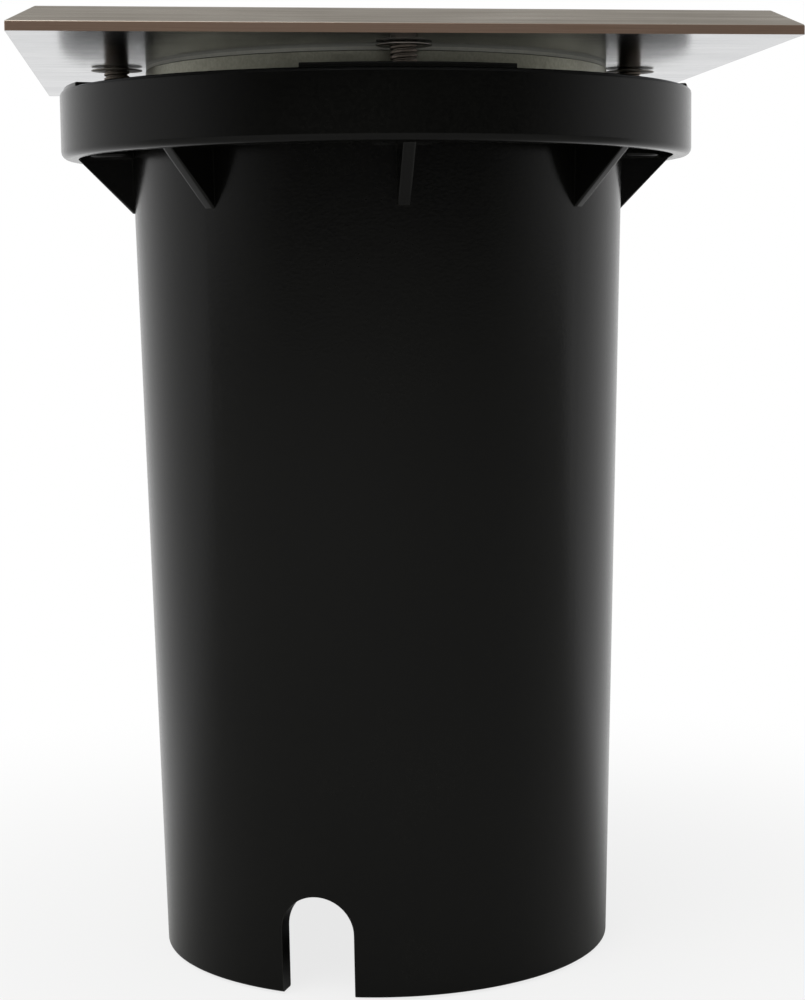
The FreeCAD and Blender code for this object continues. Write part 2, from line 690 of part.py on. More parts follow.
def make_lampholder():
    """The ceramic lampholder with keyhole slots, contact cavities and screw holes."""
    body = turned(
        [
            (0, Z_HOLDER, 0),
            (HOLDER_DIAMETER / 2, Z_HOLDER, HOLDER_EDGE),
            (HOLDER_DIAMETER / 2, Z_HOLDER_TOP, HOLDER_EDGE),
            (0, Z_HOLDER_TOP, 0),
        ]
    )
    for side in (1, -1):
        body = body.cut(holder_cavity(side)).cut(pin_slot(side))
        x = side * HOLDER_SCREW_X
        head_r = SMALL_SCREW_HEAD_DIAMETER / 2 + CONTACT_GAP
        pass_r = SMALL_SCREW_DIAMETER / 2 + SMALL_SCREW_PASS
        z_seat = holder_screw_seat()
        body = body.cut(cylinder(pass_r, Z_HOLDER - OVERCUT, z_seat + BURIED, x, 0))
        body = body.cut(cylinder(head_r, z_seat, Z_HOLDER_TOP + OVERCUT, x, 0))
    return body


def holder_screw_seat():
    """The height that the lampholder's screw heads sit at, sunk below the top face."""
    return Z_HOLDER_TOP - SMALL_SCREW_HEAD_HEIGHT - BURIED


def make_contacts():
    """Two folded contact springs: a foot to the lead, a riser and a leaf under the pin."""
    solids = []
    half = CONTACT_WIDTH / 2
    z_leaf = Z_PIN_END - CONTACT_GAP
    lead_end = LEAD_Y - LEAD_DIAMETER / 2
    back = PIN_HEAD_DIAMETER / 2
    for side in (1, -1):
        pin_x = side * PIN_SPACING / 2
        lead_x = side * BLOCK_PITCH
        foot_x0 = min(pin_x, lead_x) - half if side > 0 else max(pin_x, lead_x) + half
        foot_x1 = lead_x + side * half
        z_foot = Z_CAVITY + CONTACT_THICKNESS
        foot = block(foot_x0, foot_x1, -back, back, Z_CAVITY, z_foot)
        tail = block(lead_x - half, lead_x + half, lead_end, -back + BURIED, Z_CAVITY, z_foot)
        riser = block(pin_x - half, pin_x + half, back - CONTACT_THICKNESS, back, Z_CAVITY, z_leaf)
        leaf = block(pin_x - half, pin_x + half, -back, back, z_leaf - CONTACT_THICKNESS, z_leaf)
        solids.append(joined([foot, tail, riser, leaf]))
    return Part.makeCompound(solids)


def make_bracket():
    """The folded steel bridge that carries the lampholder over the terminal block."""
    half = BRACKET_HALF_SPAN
    t = BRACKET_SHEET
    foot_end = half + BRACKET_FOOT
    inside = BRACKET_BEND
    outside = BRACKET_BEND + t
    right = [
        (half, Z_HOLDER, outside),
        (half, Z_BOSS + t, inside),
        (foot_end, Z_BOSS + t, 0),
        (foot_end, Z_BOSS, 0),
        (half - t, Z_BOSS, outside),
        (half - t, Z_BRACKET, inside),
    ]
    left = [(-x, z, r) for x, z, r in reversed(right)]
    bridge = extruded_along_y(right + left, -BRACKET_WIDTH / 2, BRACKET_WIDTH / 2)
    for side in (1, -1):
        thread_r = SMALL_SCREW_DIAMETER / 2 + TAPPED_FIT
        foot_r = SMALL_SCREW_DIAMETER / 2 + SCREW_HOLE_CLEARANCE
        peg_r = BLOCK_PEG_DIAMETER / 2 + RUNNING_CLEARANCE
        z_low = Z_BRACKET - OVERCUT
        z_high = Z_HOLDER + OVERCUT
        bridge = bridge.cut(cylinder(thread_r, z_low, z_high, side * HOLDER_SCREW_X, 0))
        bridge = bridge.cut(cylinder(peg_r, z_low, z_high, side * BLOCK_PEG_X, 0))
        foot_x = side * BRACKET_FOOT_SCREW_X
        bridge = bridge.cut(cylinder(foot_r, Z_BOSS - OVERCUT, Z_BOSS + t + OVERCUT, foot_x, 0))
    return bridge


def make_holder_screws():
    """Two screws through the lampholder into the bridge."""
    return Part.makeCompound(
        [pan_screw(side * HOLDER_SCREW_X, 0, holder_screw_seat(), Z_BRACKET) for side in (1, -1)]
    )


def make_bracket_screws():
    """Two screws through the bridge's feet into the housing's bosses."""
    z_seat = Z_BOSS + BRACKET_SHEET
    z_end = Z_BOSS - SMALL_SCREW_BITE
    return Part.makeCompound(
        [pan_screw(side * BRACKET_FOOT_SCREW_X, 0, z_seat, z_end) for side in (1, -1)]
    )


# ---------------------------------------------------------------- terminal block, earth point and leads
def pole_places():
    """The X of each pole of the terminal block."""
    first = -BLOCK_PITCH * (BLOCK_POLES - 1) / 2
    return [first + BLOCK_PITCH * k for k in range(BLOCK_POLES)]


def bar_along_y(radius, y0, y1, x, z):
    """A round bar along Y."""
    return Part.makeCylinder(radius, y1 - y0, V(x, y0, z), V(0, 1, 0))


def make_terminal_block():
    """The three-pole block, with pegs in the bridge and a screw mouth under each clamp."""
    half_x = BLOCK_PITCH * BLOCK_POLES / 2 + BLOCK_END
    half_y = BLOCK_WIDTH / 2
    z_top = Z_BRACKET
    corners = [
        (-half_x, Z_BLOCK, BLOCK_CORNER),
        (half_x, Z_BLOCK, BLOCK_CORNER),
        (half_x, z_top, 0),
        (-half_x, z_top, 0),
    ]
    body = extruded_along_y(corners, -half_y, half_y)
    peg_r = BLOCK_PEG_DIAMETER / 2
    z_peg = Z_HOLDER - RUNNING_CLEARANCE
    pegs = [cylinder(peg_r, z_top - BURIED, z_peg, side * BLOCK_PEG_X, 0) for side in (1, -1)]
    body = joined([body] + pegs)
    for x in pole_places():
        tube_r = CLAMP_DIAMETER / 2 + TAPPED_FIT
        body = body.cut(bar_along_y(tube_r, -half_y - OVERCUT, half_y + OVERCUT, x, Z_WIRE))
        for y in (-CLAMP_SCREW_Y, CLAMP_SCREW_Y):
            mouth_r = CLAMP_SCREW_DIAMETER / 2 + SMALL_SCREW_PASS
            body = body.cut(cylinder(mouth_r, Z_BLOCK - OVERCUT, Z_WIRE, x, y))
    for x0, x1 in zip(pole_places(), pole_places()[1:]):
        left = (x0 + x1 - BLOCK_SCORE_WIDTH) / 2
        right = left + BLOCK_SCORE_WIDTH
        z_score = Z_BLOCK + BLOCK_SCORE_DEPTH
        score = block(left, right, -half_y - OVERCUT, half_y + OVERCUT, Z_BLOCK - OVERCUT, z_score)
        body = body.cut(score)
    return body


def make_clamps():
    """The brass clamp tubes of the terminal block."""
    solids = []
    for x in pole_places():
        tube = bar_along_y(CLAMP_DIAMETER / 2, -CLAMP_LENGTH / 2, CLAMP_LENGTH / 2, x, Z_WIRE)
        bore = bar_along_y(CLAMP_BORE / 2, -CLAMP_LENGTH, CLAMP_LENGTH, x, Z_WIRE)
        tube = tube.cut(bore)
        for y in (-CLAMP_SCREW_Y, CLAMP_SCREW_Y):
            tube = tube.cut(cylinder(CLAMP_SCREW_DIAMETER / 2 + TAPPED_FIT, Z_BLOCK, Z_WIRE, x, y))
        solids.append(tube)
    return Part.makeCompound(solids)


def make_clamp_screws():
    """Slotted screws that press the conductors in the clamp tubes, driven from below."""
    radius = CLAMP_SCREW_DIAMETER / 2
    z_low = Z_BLOCK + CLAMP_SCREW_RECESS
    z_tip = Z_WIRE - CONDUCTOR_DIAMETER / 2 - RUNNING_CLEARANCE
    z_slot = z_low + SMALL_SCREW_SLOT_DEPTH
    half = SMALL_SCREW_SLOT / 2
    solids = []
    for x in pole_places():
        for y in (-CLAMP_SCREW_Y, CLAMP_SCREW_Y):
            slot = block(x - radius, x + radius, y - half, y + half, z_low - OVERCUT, z_slot)
            solids.append(cylinder(radius, z_low, z_tip, x, y).cut(slot))
    return Part.makeCompound(solids)


def bared_end(x):
    """The stripped conductor of a lead, inside its clamp tube."""
    y0 = -BLOCK_WIDTH / 2 + LEAD_ENTRY - BURIED
    return bar_along_y(CONDUCTOR_DIAMETER / 2, y0, CONDUCTOR_END_Y, x, Z_WIRE)


def make_lamp_lead(side):
    """A lead from the lampholder's contact down beside the bridge and into the block."""
    x = side * BLOCK_PITCH
    start = V(x, LEAD_Y, Z_CAVITY)
    corner = V(x, LEAD_Y, Z_WIRE)
    end = V(x, -BLOCK_WIDTH / 2 + LEAD_ENTRY, Z_WIRE)
    bar = round_bar(bent_route(start, corner, end, LEAD_BEND), LEAD_DIAMETER / 2)
    return joined([bar, bared_end(x)])


def make_earth_lead():
    """The earth lead from the middle pole to the barrel of the earth terminal."""
    start = V(0, -BLOCK_WIDTH / 2 + LEAD_ENTRY, Z_WIRE)
    corner = V(0, EARTH_BARREL_Y, Z_WIRE)
    end = V(0, EARTH_BARREL_Y, Z_BOSS + EARTH_RING_THICKNESS)
    bar = round_bar(bent_route(start, corner, end, EARTH_BEND), LEAD_DIAMETER / 2)
    return joined([bar, bared_end(0)])


def make_earth_terminal():
    """The ring terminal with an upright barrel."""
    z0 = Z_BOSS
    z1 = Z_BOSS + EARTH_RING_THICKNESS
    y_ring = earth_screw_y()
    eye = cylinder(EARTH_RING_DIAMETER / 2, z0, z1, 0, y_ring)
    half = EARTH_TONGUE_WIDTH / 2
    tongue = block(-half, half, y_ring, EARTH_BARREL_Y, z0, z1)
    barrel = cylinder(EARTH_BARREL_DIAMETER / 2, z0, z1 + EARTH_BARREL_HEIGHT, 0, EARTH_BARREL_Y)
    body = joined([eye, tongue, barrel])
    hole = cylinder(SMALL_SCREW_DIAMETER / 2 + SMALL_SCREW_PASS, z0 - OVERCUT, z1 + OVERCUT, 0, y_ring)
    bore_top = z1 + EARTH_BARREL_HEIGHT + OVERCUT
    bore = cylinder(LEAD_DIAMETER / 2 + TAPPED_FIT, z1, bore_top, 0, EARTH_BARREL_Y)
    return body.cut(hole).cut(bore)


def make_earth_screw():
    """The screw that holds the earth terminal on its boss."""
    z_seat = Z_BOSS + EARTH_RING_THICKNESS
    return pan_screw(0, earth_screw_y(), z_seat, Z_BOSS - SMALL_SCREW_BITE)


# ---------------------------------------------------------------- cable gland
def make_gland_body():
    """The gland's body: a threaded shank through the floor, a hexagon and the seal's seat."""
    shank = cylinder(GLAND_THREAD_DIAMETER / 2, Z_GLAND_HEX, Z_LOCKNUT_TOP)
    hex_part = hexagon(GLAND_ACROSS_FLATS, Z_GLAND_HEX, Z_GLAND_WASHER)
    z_end = Z_GLAND_HEX - GLAND_LOWER_LENGTH
    lower = cylinder(GLAND_LOWER_THREAD / 2, z_end, Z_GLAND_HEX)
    body = joined([shank, hex_part, lower])
    bore = cylinder(GLAND_BORE_DIAMETER / 2, z_end - OVERCUT, Z_LOCKNUT_TOP + OVERCUT)
    seat = cylinder(SEAL_DIAMETER / 2 + CONTACT_GAP, z_end - OVERCUT, z_end + GLAND_SEAT_DEPTH)
    return body.cut(bore).cut(seat)


def make_gland_nut():
    """The gland's dome nut, with a mouth for the cable."""
    hex_part = hexagon(GLAND_ACROSS_FLATS, Z_NUT, Z_NUT_TOP)
    corner_r = GLAND_ACROSS_FLATS / math.sqrt(3)
    dome = turned(
        [
            (0, Z_NUT, 0),
            (corner_r - NUT_DOME, Z_NUT, 0),
            (corner_r, Z_NUT + NUT_DOME, 0),
            (corner_r, Z_NUT_TOP, 0),
            (0, Z_NUT_TOP, 0),
        ]
    )
    thread_r = GLAND_LOWER_THREAD / 2 + RUNNING_CLEARANCE
    body = hex_part.common(dome)
    body = body.cut(cylinder(NUT_MOUTH_DIAMETER / 2, Z_NUT - OVERCUT, Z_NUT_TOP))
    return body.cut(cylinder(thread_r, Z_NUT + NUT_END_WALL, Z_NUT_TOP + OVERCUT))


def make_gland_seal():
    """The rubber sealing sleeve that the nut presses on the cable."""
    z0 = Z_NUT + NUT_END_WALL
    return ring(SEAL_DIAMETER / 2, SEAL_BORE_DIAMETER / 2, z0, z0 + SEAL_HEIGHT)


def make_locknut():
    """The nut that holds the gland from inside the housing."""
    nut = hexagon(GLAND_ACROSS_FLATS, Z_FLOOR, Z_LOCKNUT_TOP)
    thread_r = GLAND_THREAD_DIAMETER / 2 + TAPPED_FIT
    return nut.cut(cylinder(thread_r, Z_FLOOR - OVERCUT, Z_LOCKNUT_TOP + OVERCUT))


def make_gland_washer():
    """The sealing washer between the gland's hexagon and the housing's underside."""
    inner = GLAND_THREAD_DIAMETER / 2 + TAPPED_FIT
    return ring(GLAND_ACROSS_FLATS / 2, inner, Z_GLAND_WASHER, Z_HOUSING)


# ---------------------------------------------------------------- lamp
def make_lamp_shell():
    """The lamp's hollow body: a straight rim, a cone and a neck."""
    neck_r = LAMP_BASE_DIAMETER / 2
    z_neck = Z_LAMP_BASE + LAMP_BASE_HEIGHT
    z_rim = Z_LAMP_FACE - LAMP_RIM_HEIGHT
    z_cone = z_rim - LAMP_CONE_HEIGHT
    z_seat = Z_LAMP_FACE - LED_BOARD_DEPTH - LED_BOARD_THICKNESS
    seat_r = LAMP_R - 2 * LAMP_WALL
    corners = [
        (neck_r - LAMP_WALL, z_neck, 0),
        (neck_r, z_neck, 0),
        (neck_r + LAMP_NECK_FLARE, z_cone, LAMP_NECK_ROUND),
        (LAMP_R, z_rim, LAMP_CONE_ROUND),
        (LAMP_R, Z_LAMP_FACE, LAMP_FACE_EDGE),
        (LAMP_R - LAMP_WALL, Z_LAMP_FACE, 0),
        (LAMP_R - LAMP_WALL, z_seat, 0),
        (seat_r, z_seat, 0),
        (seat_r, z_rim - LAMP_WALL, 0),
        (neck_r - LAMP_WALL, z_cone, 0),
    ]
    return turned(corners)


def make_lamp_lens():
    """The lamp's front lens, stepped down on the board by its skirt."""
    outer = LAMP_R - LAMP_WALL - RUNNING_CLEARANCE
    z_top = Z_LAMP_FACE - LAMP_LENS_RECESS
    z_board = Z_LAMP_FACE - LED_BOARD_DEPTH
    corners = [
        (0, z_top - LAMP_LENS_THICKNESS, 0),
        (outer - LAMP_WALL, z_top - LAMP_LENS_THICKNESS, 0),
        (outer - LAMP_WALL, z_board, 0),
        (outer, z_board, 0),
        (outer, z_top, LAMP_FACE_EDGE),
        (0, z_top, 0),
    ]
    return turned(corners)


def make_led_board():
    """The round board with its light-emitting chips."""
    outer = LAMP_R - LAMP_WALL - RUNNING_CLEARANCE
    z_top = Z_LAMP_FACE - LED_BOARD_DEPTH
    half = LED_SIDE / 2
    near = LED_CIRCLE_RADIUS - half
    far = LED_CIRCLE_RADIUS + half
    chip = block(near, far, -half, half, z_top - SOLDER, z_top + LED_HEIGHT)
    chips = [spun(chip, 360.0 / LED_COUNT * k) for k in range(LED_COUNT)]
    return joined([cylinder(outer, z_top - LED_BOARD_THICKNESS, z_top)] + chips)


def make_lamp_base():
    """The insulating base, with a spigot in the shell's neck and a hole for each pin."""
    neck_r = LAMP_BASE_DIAMETER / 2
    z_neck = Z_LAMP_BASE + LAMP_BASE_HEIGHT
    spigot_r = neck_r - LAMP_WALL - TAPPED_FIT
    corners = [
        (0, Z_LAMP_BASE, 0),
        (neck_r, Z_LAMP_BASE, LAMP_BASE_EDGE),
        (neck_r, z_neck, 0),
        (spigot_r, z_neck, 0),
        (spigot_r, z_neck + LAMP_SPIGOT_HEIGHT, 0),
        (0, z_neck + LAMP_SPIGOT_HEIGHT, 0),
    ]
    base = turned(corners)
    for side in (1, -1):
        hole_r = PIN_NECK_DIAMETER / 2 + TAPPED_FIT
        x = side * PIN_SPACING / 2
        base = base.cut(cylinder(hole_r, Z_LAMP_BASE - OVERCUT, Z_LAMP_BASE + PIN_ROOT, x, 0))
    return base


def make_lamp_pins():
    """The two headed contact pins."""
    solids = []
    for side in (1, -1):
        x = side * PIN_SPACING / 2
        neck = cylinder(PIN_NECK_DIAMETER / 2, Z_PIN_END, Z_LAMP_BASE + PIN_ROOT, x, 0)
        head = cylinder(PIN_HEAD_DIAMETER / 2, Z_PIN_END, Z_PIN_END + PIN_HEAD_HEIGHT, x, 0)
        solids.append(joined([neck, head]))
    return Part.makeCompound(solids)


# ---------------------------------------------------------------- export
def all_pieces():
    """Every piece by its name."""
    pieces = {
        "installation_sleeve": make_sleeve(),
        "threaded_inserts": make_inserts(),
        "cover_plate": make_cover_plate(),
        "glass_lens": make_glass(),
        "upper_gasket": make_upper_gasket(),
        "lower_gasket": make_lower_gasket(),
        "lamp_housing": make_housing(),
        "lampholder_bracket": make_bracket(),
        "bracket_screws": make_bracket_screws(),
        "lampholder": make_lampholder(),
        "lampholder_contacts": make_contacts(),
        "lampholder_screws": make_holder_screws(),
        "terminal_block": make_terminal_block(),
        "terminal_clamps": make_clamps(),
        "terminal_screws": make_clamp_screws(),
        "live_lead": make_lamp_lead(1),
        "neutral_lead": make_lamp_lead(-1),
        "earth_lead": make_earth_lead(),
        "earth_terminal": make_earth_terminal(),
        "earth_screw": make_earth_screw(),
        "gland_body": make_gland_body(),
        "gland_washer": make_gland_washer(),
        "gland_locknut": make_locknut(),
        "gland_seal": make_gland_seal(),
        "gland_nut": make_gland_nut(),
        "lamp_shell": make_lamp_shell(),
        "lamp_lens": make_lamp_lens(),
        "lamp_led_board": make_led_board(),
        "lamp_base": make_lamp_base(),
        "lamp_pins": make_lamp_pins(),
    }
    for k, name in enumerate(SCREW_NAMES):
        pieces[f"cover_screw_{name}"] = make_cover_screw(k)
        pieces[f"captive_washer_{name}"] = make_captive_washer(k)
    return pieces


def main():
    """Write one STEP file per piece, and print each piece's volume and height."""
    os.makedirs("parts", exist_ok=True)
    for name, shape in all_pieces().items():
        shape.exportStep(f"parts/{name}.step")
        box = shape.BoundBox
        state = "valid" if shape.isValid() else "NOT VALID"
        print(f"{name}: {len(shape.Solids)} solids, {state}, {shape.Volume:.1f} mm3")
        print(f"    z {box.ZMin:.2f} to {box.ZMax:.2f}")


main()
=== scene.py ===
import logging
import math
from collections.abc import Sequence
from dataclasses import dataclass, field, replace
from enum import Enum, IntEnum
from typing import ClassVar

import bmesh
import bpy
from bmesh.types import BMEdge, BMesh, BMVert
from bpy.types import ID, Material, Node, NodeSocket, NodeTree, Object
from mathutils import Matrix, Vector


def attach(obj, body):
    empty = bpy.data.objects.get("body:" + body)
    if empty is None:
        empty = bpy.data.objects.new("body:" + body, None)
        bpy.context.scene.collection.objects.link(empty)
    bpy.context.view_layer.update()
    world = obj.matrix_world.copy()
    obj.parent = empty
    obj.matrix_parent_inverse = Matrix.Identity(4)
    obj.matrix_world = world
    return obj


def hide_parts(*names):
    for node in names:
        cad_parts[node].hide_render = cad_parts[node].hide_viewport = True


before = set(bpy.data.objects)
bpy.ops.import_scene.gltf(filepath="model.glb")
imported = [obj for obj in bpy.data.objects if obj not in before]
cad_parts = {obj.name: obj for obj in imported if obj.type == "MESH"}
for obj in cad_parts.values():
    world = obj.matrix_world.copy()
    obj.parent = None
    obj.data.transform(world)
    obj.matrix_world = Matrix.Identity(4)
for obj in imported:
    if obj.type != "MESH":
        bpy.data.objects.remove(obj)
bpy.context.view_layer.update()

log = logging.getLogger("well_light")

MM = 0.001  # metres in a millimetre
PAST = 1.0  # how far a cutting tool reaches past the face that it opens, in mm
SAME = 1e-7  # metres within which two points are one
SHARP_DEGREES = 28.0  # edges that bend more than this stay sharp
LYING, UPRIGHT = 0.7, 0.3  # a face lies or stands where its normal's Z is over or under these
WHITE = (1.0, 1.0, 1.0, 1.0)
Corner = tuple[float, float, float]  # radius or X, height, rounding, all in mm
Triple = tuple[float, float, float]  # X, Y, Z in mm
Span = tuple[float, float]


def linear(colour: str) -> tuple[float, float, float, float]:
    """Turns an sRGB hex colour, such as #c6bfb4, into linear red, green and blue with an alpha of 1."""
    parts = [int(colour[k : k + 2], 16) / 255 for k in (1, 3, 5)]
    r, g, b = (c / 12.92 if c <= 0.04045 else ((c + 0.055) / 1.055) ** 2.4 for c in parts)
    return r, g, b, 1.0


def add_node(tree: NodeTree, kind: str, inputs: dict | None = None, **settings: object) -> Node:
    """Adds one node to a tree.

    Args:
        tree: the node tree.
        kind: the node's type name, without the ShaderNode that it begins with.
        inputs: per socket name or number, the output to link there or the value to set.
        settings: the node's own properties.

    Returns:
        The new node.
    """
    node = tree.nodes.new(f"ShaderNode{kind}")
    for name, value in settings.items():
        setattr(node, name, value)
    for socket, value in (inputs or {}).items():
        if isinstance(value, NodeSocket):
            tree.links.new(value, node.inputs[socket])
        else:
            node.inputs[socket].default_value = value
    return node


def bare_tree(owner: ID) -> NodeTree:
    """Gives a material or a world a node tree without nodes."""
    owner.use_nodes = True
    owner.node_tree.nodes.clear()
    return owner.node_tree


def ramp(
    tree: NodeTree, value: NodeSocket, source: Span = (0.0, 1.0),
    target: Sequence[float | NodeSocket] = (0.0, 1.0), smooth: bool = False,
) -> NodeSocket:
    """Maps a value from one span to another, eased if smooth, and holds it flat beyond the ends."""
    ends = dict(zip(("From Min", "From Max", "To Min", "To Max"), (*source, *target)))
    kind = "SMOOTHSTEP" if smooth else "LINEAR"
    return add_node(tree, "MapRange", {"Value": value, **ends}, interpolation_type=kind).outputs[0]


def reckon(tree: NodeTree, operation: str, *values: float | NodeSocket, clamp: bool = False) -> NodeSocket:
    """Adds one Math node for an operation on numbers or sockets, and gives its result."""
    inputs = dict(enumerate(values))
    return add_node(tree, "Math", inputs, operation=operation, use_clamp=clamp).outputs[0]


class Grain(Enum):
    """How a surface was made. The value scales the pattern's coordinates: a small one draws it out."""

    MOULDED = (1.0, 1.0, 1.0)
    BRUSHED_X = (0.012, 1.0, 1.0)
    ROLLED_X = (0.03, 1.0, 0.4)
    CAST = (1.0, 1.0, 0.8)
    TURNED = (1.0, 1.0, 1.001)  # rings about Z, never scaled: it only has to differ from MOULDED


@dataclass(frozen=True)
class Finish:
    """One real material with its surface: a base that drifts to a second shade, grain, and wear."""

    name: str
    base: str
    shade: str
    roughness: Span  # towards the base and towards the shade
    grain: Grain = Grain.MOULDED
    grain_mm: float = 0.4
    relief_mm: float = 0.006
    patch_mm: float = 14.0
    metallic: float = 0.0
    ior: float = 1.5
    specular: float = 0.5
    transmission: float = 0.0
    worn: str = ""
    worn_mm: float = 0.3
    worn_roughness: float = 0.3

    PATCH_SPAN: ClassVar[Span] = (0.3, 0.7)
    PATCH_SHARE: ClassVar[float] = 0.65
    GRAIN_SPAN: ClassVar[Span] = (0.35, 0.65)
    SHADE_LIMIT: ClassVar[float] = 0.6
    WORN_BEND: ClassVar[Span] = (0.99, 0.8)  # cosine of the bend, where wear begins and where it is full

    def pattern_place(self, tree: NodeTree) -> NodeSocket:
        """Gives the coordinates that the fine grain follows.

        Args:
            tree: the material's node tree.

        Returns:
            A vector socket: scaled along the grain, or radius and height on a turned piece.
        """
        place = add_node(tree, "TexCoord").outputs["Object"]
        if self.grain is not Grain.TURNED:
            return add_node(tree, "Mapping", {"Vector": place, "Scale": self.grain.value}).outputs[0]
        split = add_node(tree, "SeparateXYZ", {0: place})
        flat = add_node(tree, "CombineXYZ", {0: split.outputs[0], 1: split.outputs[1]})
        radius = add_node(tree, "VectorMath", {0: flat.outputs[0]}, operation="LENGTH")
        rings = {0: radius.outputs["Value"], 2: split.outputs[2]}
        return add_node(tree, "CombineXYZ", rings).outputs[0]

    def material(self) -> Material:
        """Builds the material once.

        Returns:
            The material, the same one each time.
        """
        known = bpy.data.materials.get(self.name)
        if known:
            return known
        made = bpy.data.materials.new(self.name)
        tree = bare_tree(made)
        place = add_node(tree, "TexCoord").outputs["Object"]
        patches = add_node(
            tree, "TexNoise",
            {"Vector": place, "Scale": 1 / (self.patch_mm * MM), "Detail": 4.0, "Roughness": 0.6},
        )
        spread = ramp(tree, patches.outputs["Fac"], self.PATCH_SPAN, smooth=True)
        grain = add_node(
            tree, "TexNoise",
            {"Vector": self.pattern_place(tree), "Scale": 1 / (self.grain_mm * MM), "Detail": 3.0},
        )
        speckle = ramp(tree, grain.outputs["Fac"], self.GRAIN_SPAN)
        blend = reckon(tree, "MULTIPLY_ADD", spread, self.PATCH_SHARE, speckle)
        share = reckon(tree, "MULTIPLY", blend, self.SHADE_LIMIT, clamp=True)
        tone = add_node(
            tree, "Mix",
            {"Factor": share, 6: linear(self.base), 7: linear(self.shade)}, data_type="RGBA",
        ).outputs[2]
        gloss = ramp(tree, share, target=self.roughness)
        if self.worn:
            tone, gloss = self.wear(tree, tone, gloss, grain.outputs["Fac"])
        relief = add_node(
            tree, "Bump",
            {"Height": grain.outputs["Fac"], "Distance": self.relief_mm * MM, "Strength": 1.0},
        )
        shader = add_node(
            tree, "BsdfPrincipled",
            {
                "Base Color": tone,
                "Roughness": gloss,
                "Normal": relief.outputs[0],
                "Metallic": self.metallic,
                "IOR": self.ior,
                "Specular IOR Level": self.specular,
                "Transmission Weight": self.transmission,
            },
        )
        add_node(tree, "OutputMaterial", {"Surface": shader.outputs[0]})
        return made

    def wear(
        self, tree: NodeTree, tone: NodeSocket, gloss: NodeSocket, noise: NodeSocket
    ) -> tuple[NodeSocket, NodeSocket]:
        """Rubs the corners: where the surface bends within a short distance it takes the worn colour.

        Args:
            tree: the material's node tree.
            tone: the colour so far.
            gloss: the roughness so far.
            noise: what breaks the wear up.

        Returns:
            The colour and the roughness with the wear in them.
        """
        soft = add_node(tree, "Bevel", {"Radius": self.worn_mm * MM}, samples=4)
        true = add_node(tree, "NewGeometry")
        turn = add_node(
            tree, "VectorMath",
            {0: soft.outputs[0], 1: true.outputs["Normal"]},
            operation="DOT_PRODUCT",
        )
        corner = ramp(tree, turn.outputs["Value"], self.WORN_BEND)
        rubbed = reckon(tree, "MULTIPLY", corner, noise, clamp=True)
        mixed = add_node(
            tree, "Mix", {"Factor": rubbed, 6: tone, 7: linear(self.worn)}, data_type="RGBA",
        )
        return mixed.outputs[2], ramp(tree, rubbed, target=(gloss, self.worn_roughness))


# Glass-filled polypropylene, injection moulded: deep black, satin, with a fine spark-eroded grain.
SLEEVE_PLASTIC = Finish(
    "black_polypropylene_moulded", "#090908", "#0e0e0c", (0.16, 0.23), grain_mm=0.5, relief_mm=0.01,
    patch_mm=22.0, ior=1.49, specular=0.15, worn="#2a2a26", worn_mm=0.35,
)
# Stainless steel with a linear brushed face: straight scratches along X and a warm grey tone. Real
# scratches are a few hundredths of a millimetre apart; they are drawn coarser, so that they show.
BRUSHED_STAINLESS = Finish(
    "stainless_steel_brushed", "#c6bfb4", "#9f978c", (0.24, 0.36), Grain.BRUSHED_X, grain_mm=0.28,
    patch_mm=30.0, metallic=1.0, worn="#d8d4cc", worn_mm=0.15, worn_roughness=0.2,
)
# The same steel where the sheet was cut: darker, browner and rougher than its face.
CUT_STAINLESS = Finish(
    "stainless_steel_cut_edge", "#a88f7e", "#8c7565", (0.32, 0.45), Grain.BRUSHED_X, grain_mm=0.2,
    relief_mm=0.008, patch_mm=9.0, metallic=1.0,
)
# The same steel as rolled: a soft mirror, with faint rolling lines and smears.
ROLLED_STAINLESS = Finish(
    "stainless_steel_rolled", "#b0b1b3", "#9fa1a4", (0.14, 0.21), Grain.ROLLED_X, grain_mm=0.6,
    relief_mm=0.002, patch_mm=18.0, metallic=1.0,
)
# Hard-rolled stainless spring steel of the captive washers: pale grey, satin, with fine rolling marks.
SPRING_STEEL = Finish(
    "stainless_steel_spring_strip", "#b3aea6", "#9c968d", (0.35, 0.5), Grain.BRUSHED_X, grain_mm=0.25,
    relief_mm=0.004, patch_mm=3.0, metallic=1.0,
)
# Machine screws in dark stainless steel: brown-grey with bright rubbed crests.
SCREW_STEEL = Finish(
    "stainless_steel_screw", "#8c8278", "#6f665e", (0.38, 0.52), grain_mm=0.25, patch_mm=2.5,
    metallic=1.0, worn="#b9b2a8", worn_mm=0.08, worn_roughness=0.25,
)
# Toughened soda-lime glass: clear, with the green of its edge and almost no roughness.
CLEAR_GLASS = Finish(
    "soda_lime_glass_polished", "#eef6f2", "#e3f0ea", (0.0, 0.02), grain_mm=6.0, relief_mm=0.0004,
    patch_mm=40.0, ior=1.52, transmission=1.0,
)
# Pressure die-cast aluminium, shot-blasted: olive grey, matt and slightly mottled.
CAST_ALUMINIUM = Finish(
    "aluminium_die_cast", "#9c9b8d", "#8b8a7d", (0.4, 0.5), Grain.CAST, relief_mm=0.008,
    patch_mm=12.0, metallic=1.0, worn="#c8c7be", worn_mm=0.25, worn_roughness=0.35,
)
# Moulded silicone rubber: pale, matt, with a soft gloss where it is pressed.
SILICONE = Finish(
    "silicone_rubber_moulded", "#f0efe4", "#e4e3d7", (0.4, 0.5), grain_mm=0.8, patch_mm=6.0,
    ior=1.42,
)
# Turned brass: yellow and satin, with fine tool marks.
TURNED_BRASS = Finish(
    "brass_turned", "#c9a25a", "#a98343", (0.22, 0.36), grain_mm=0.2, patch_mm=2.0, metallic=1.0,
)
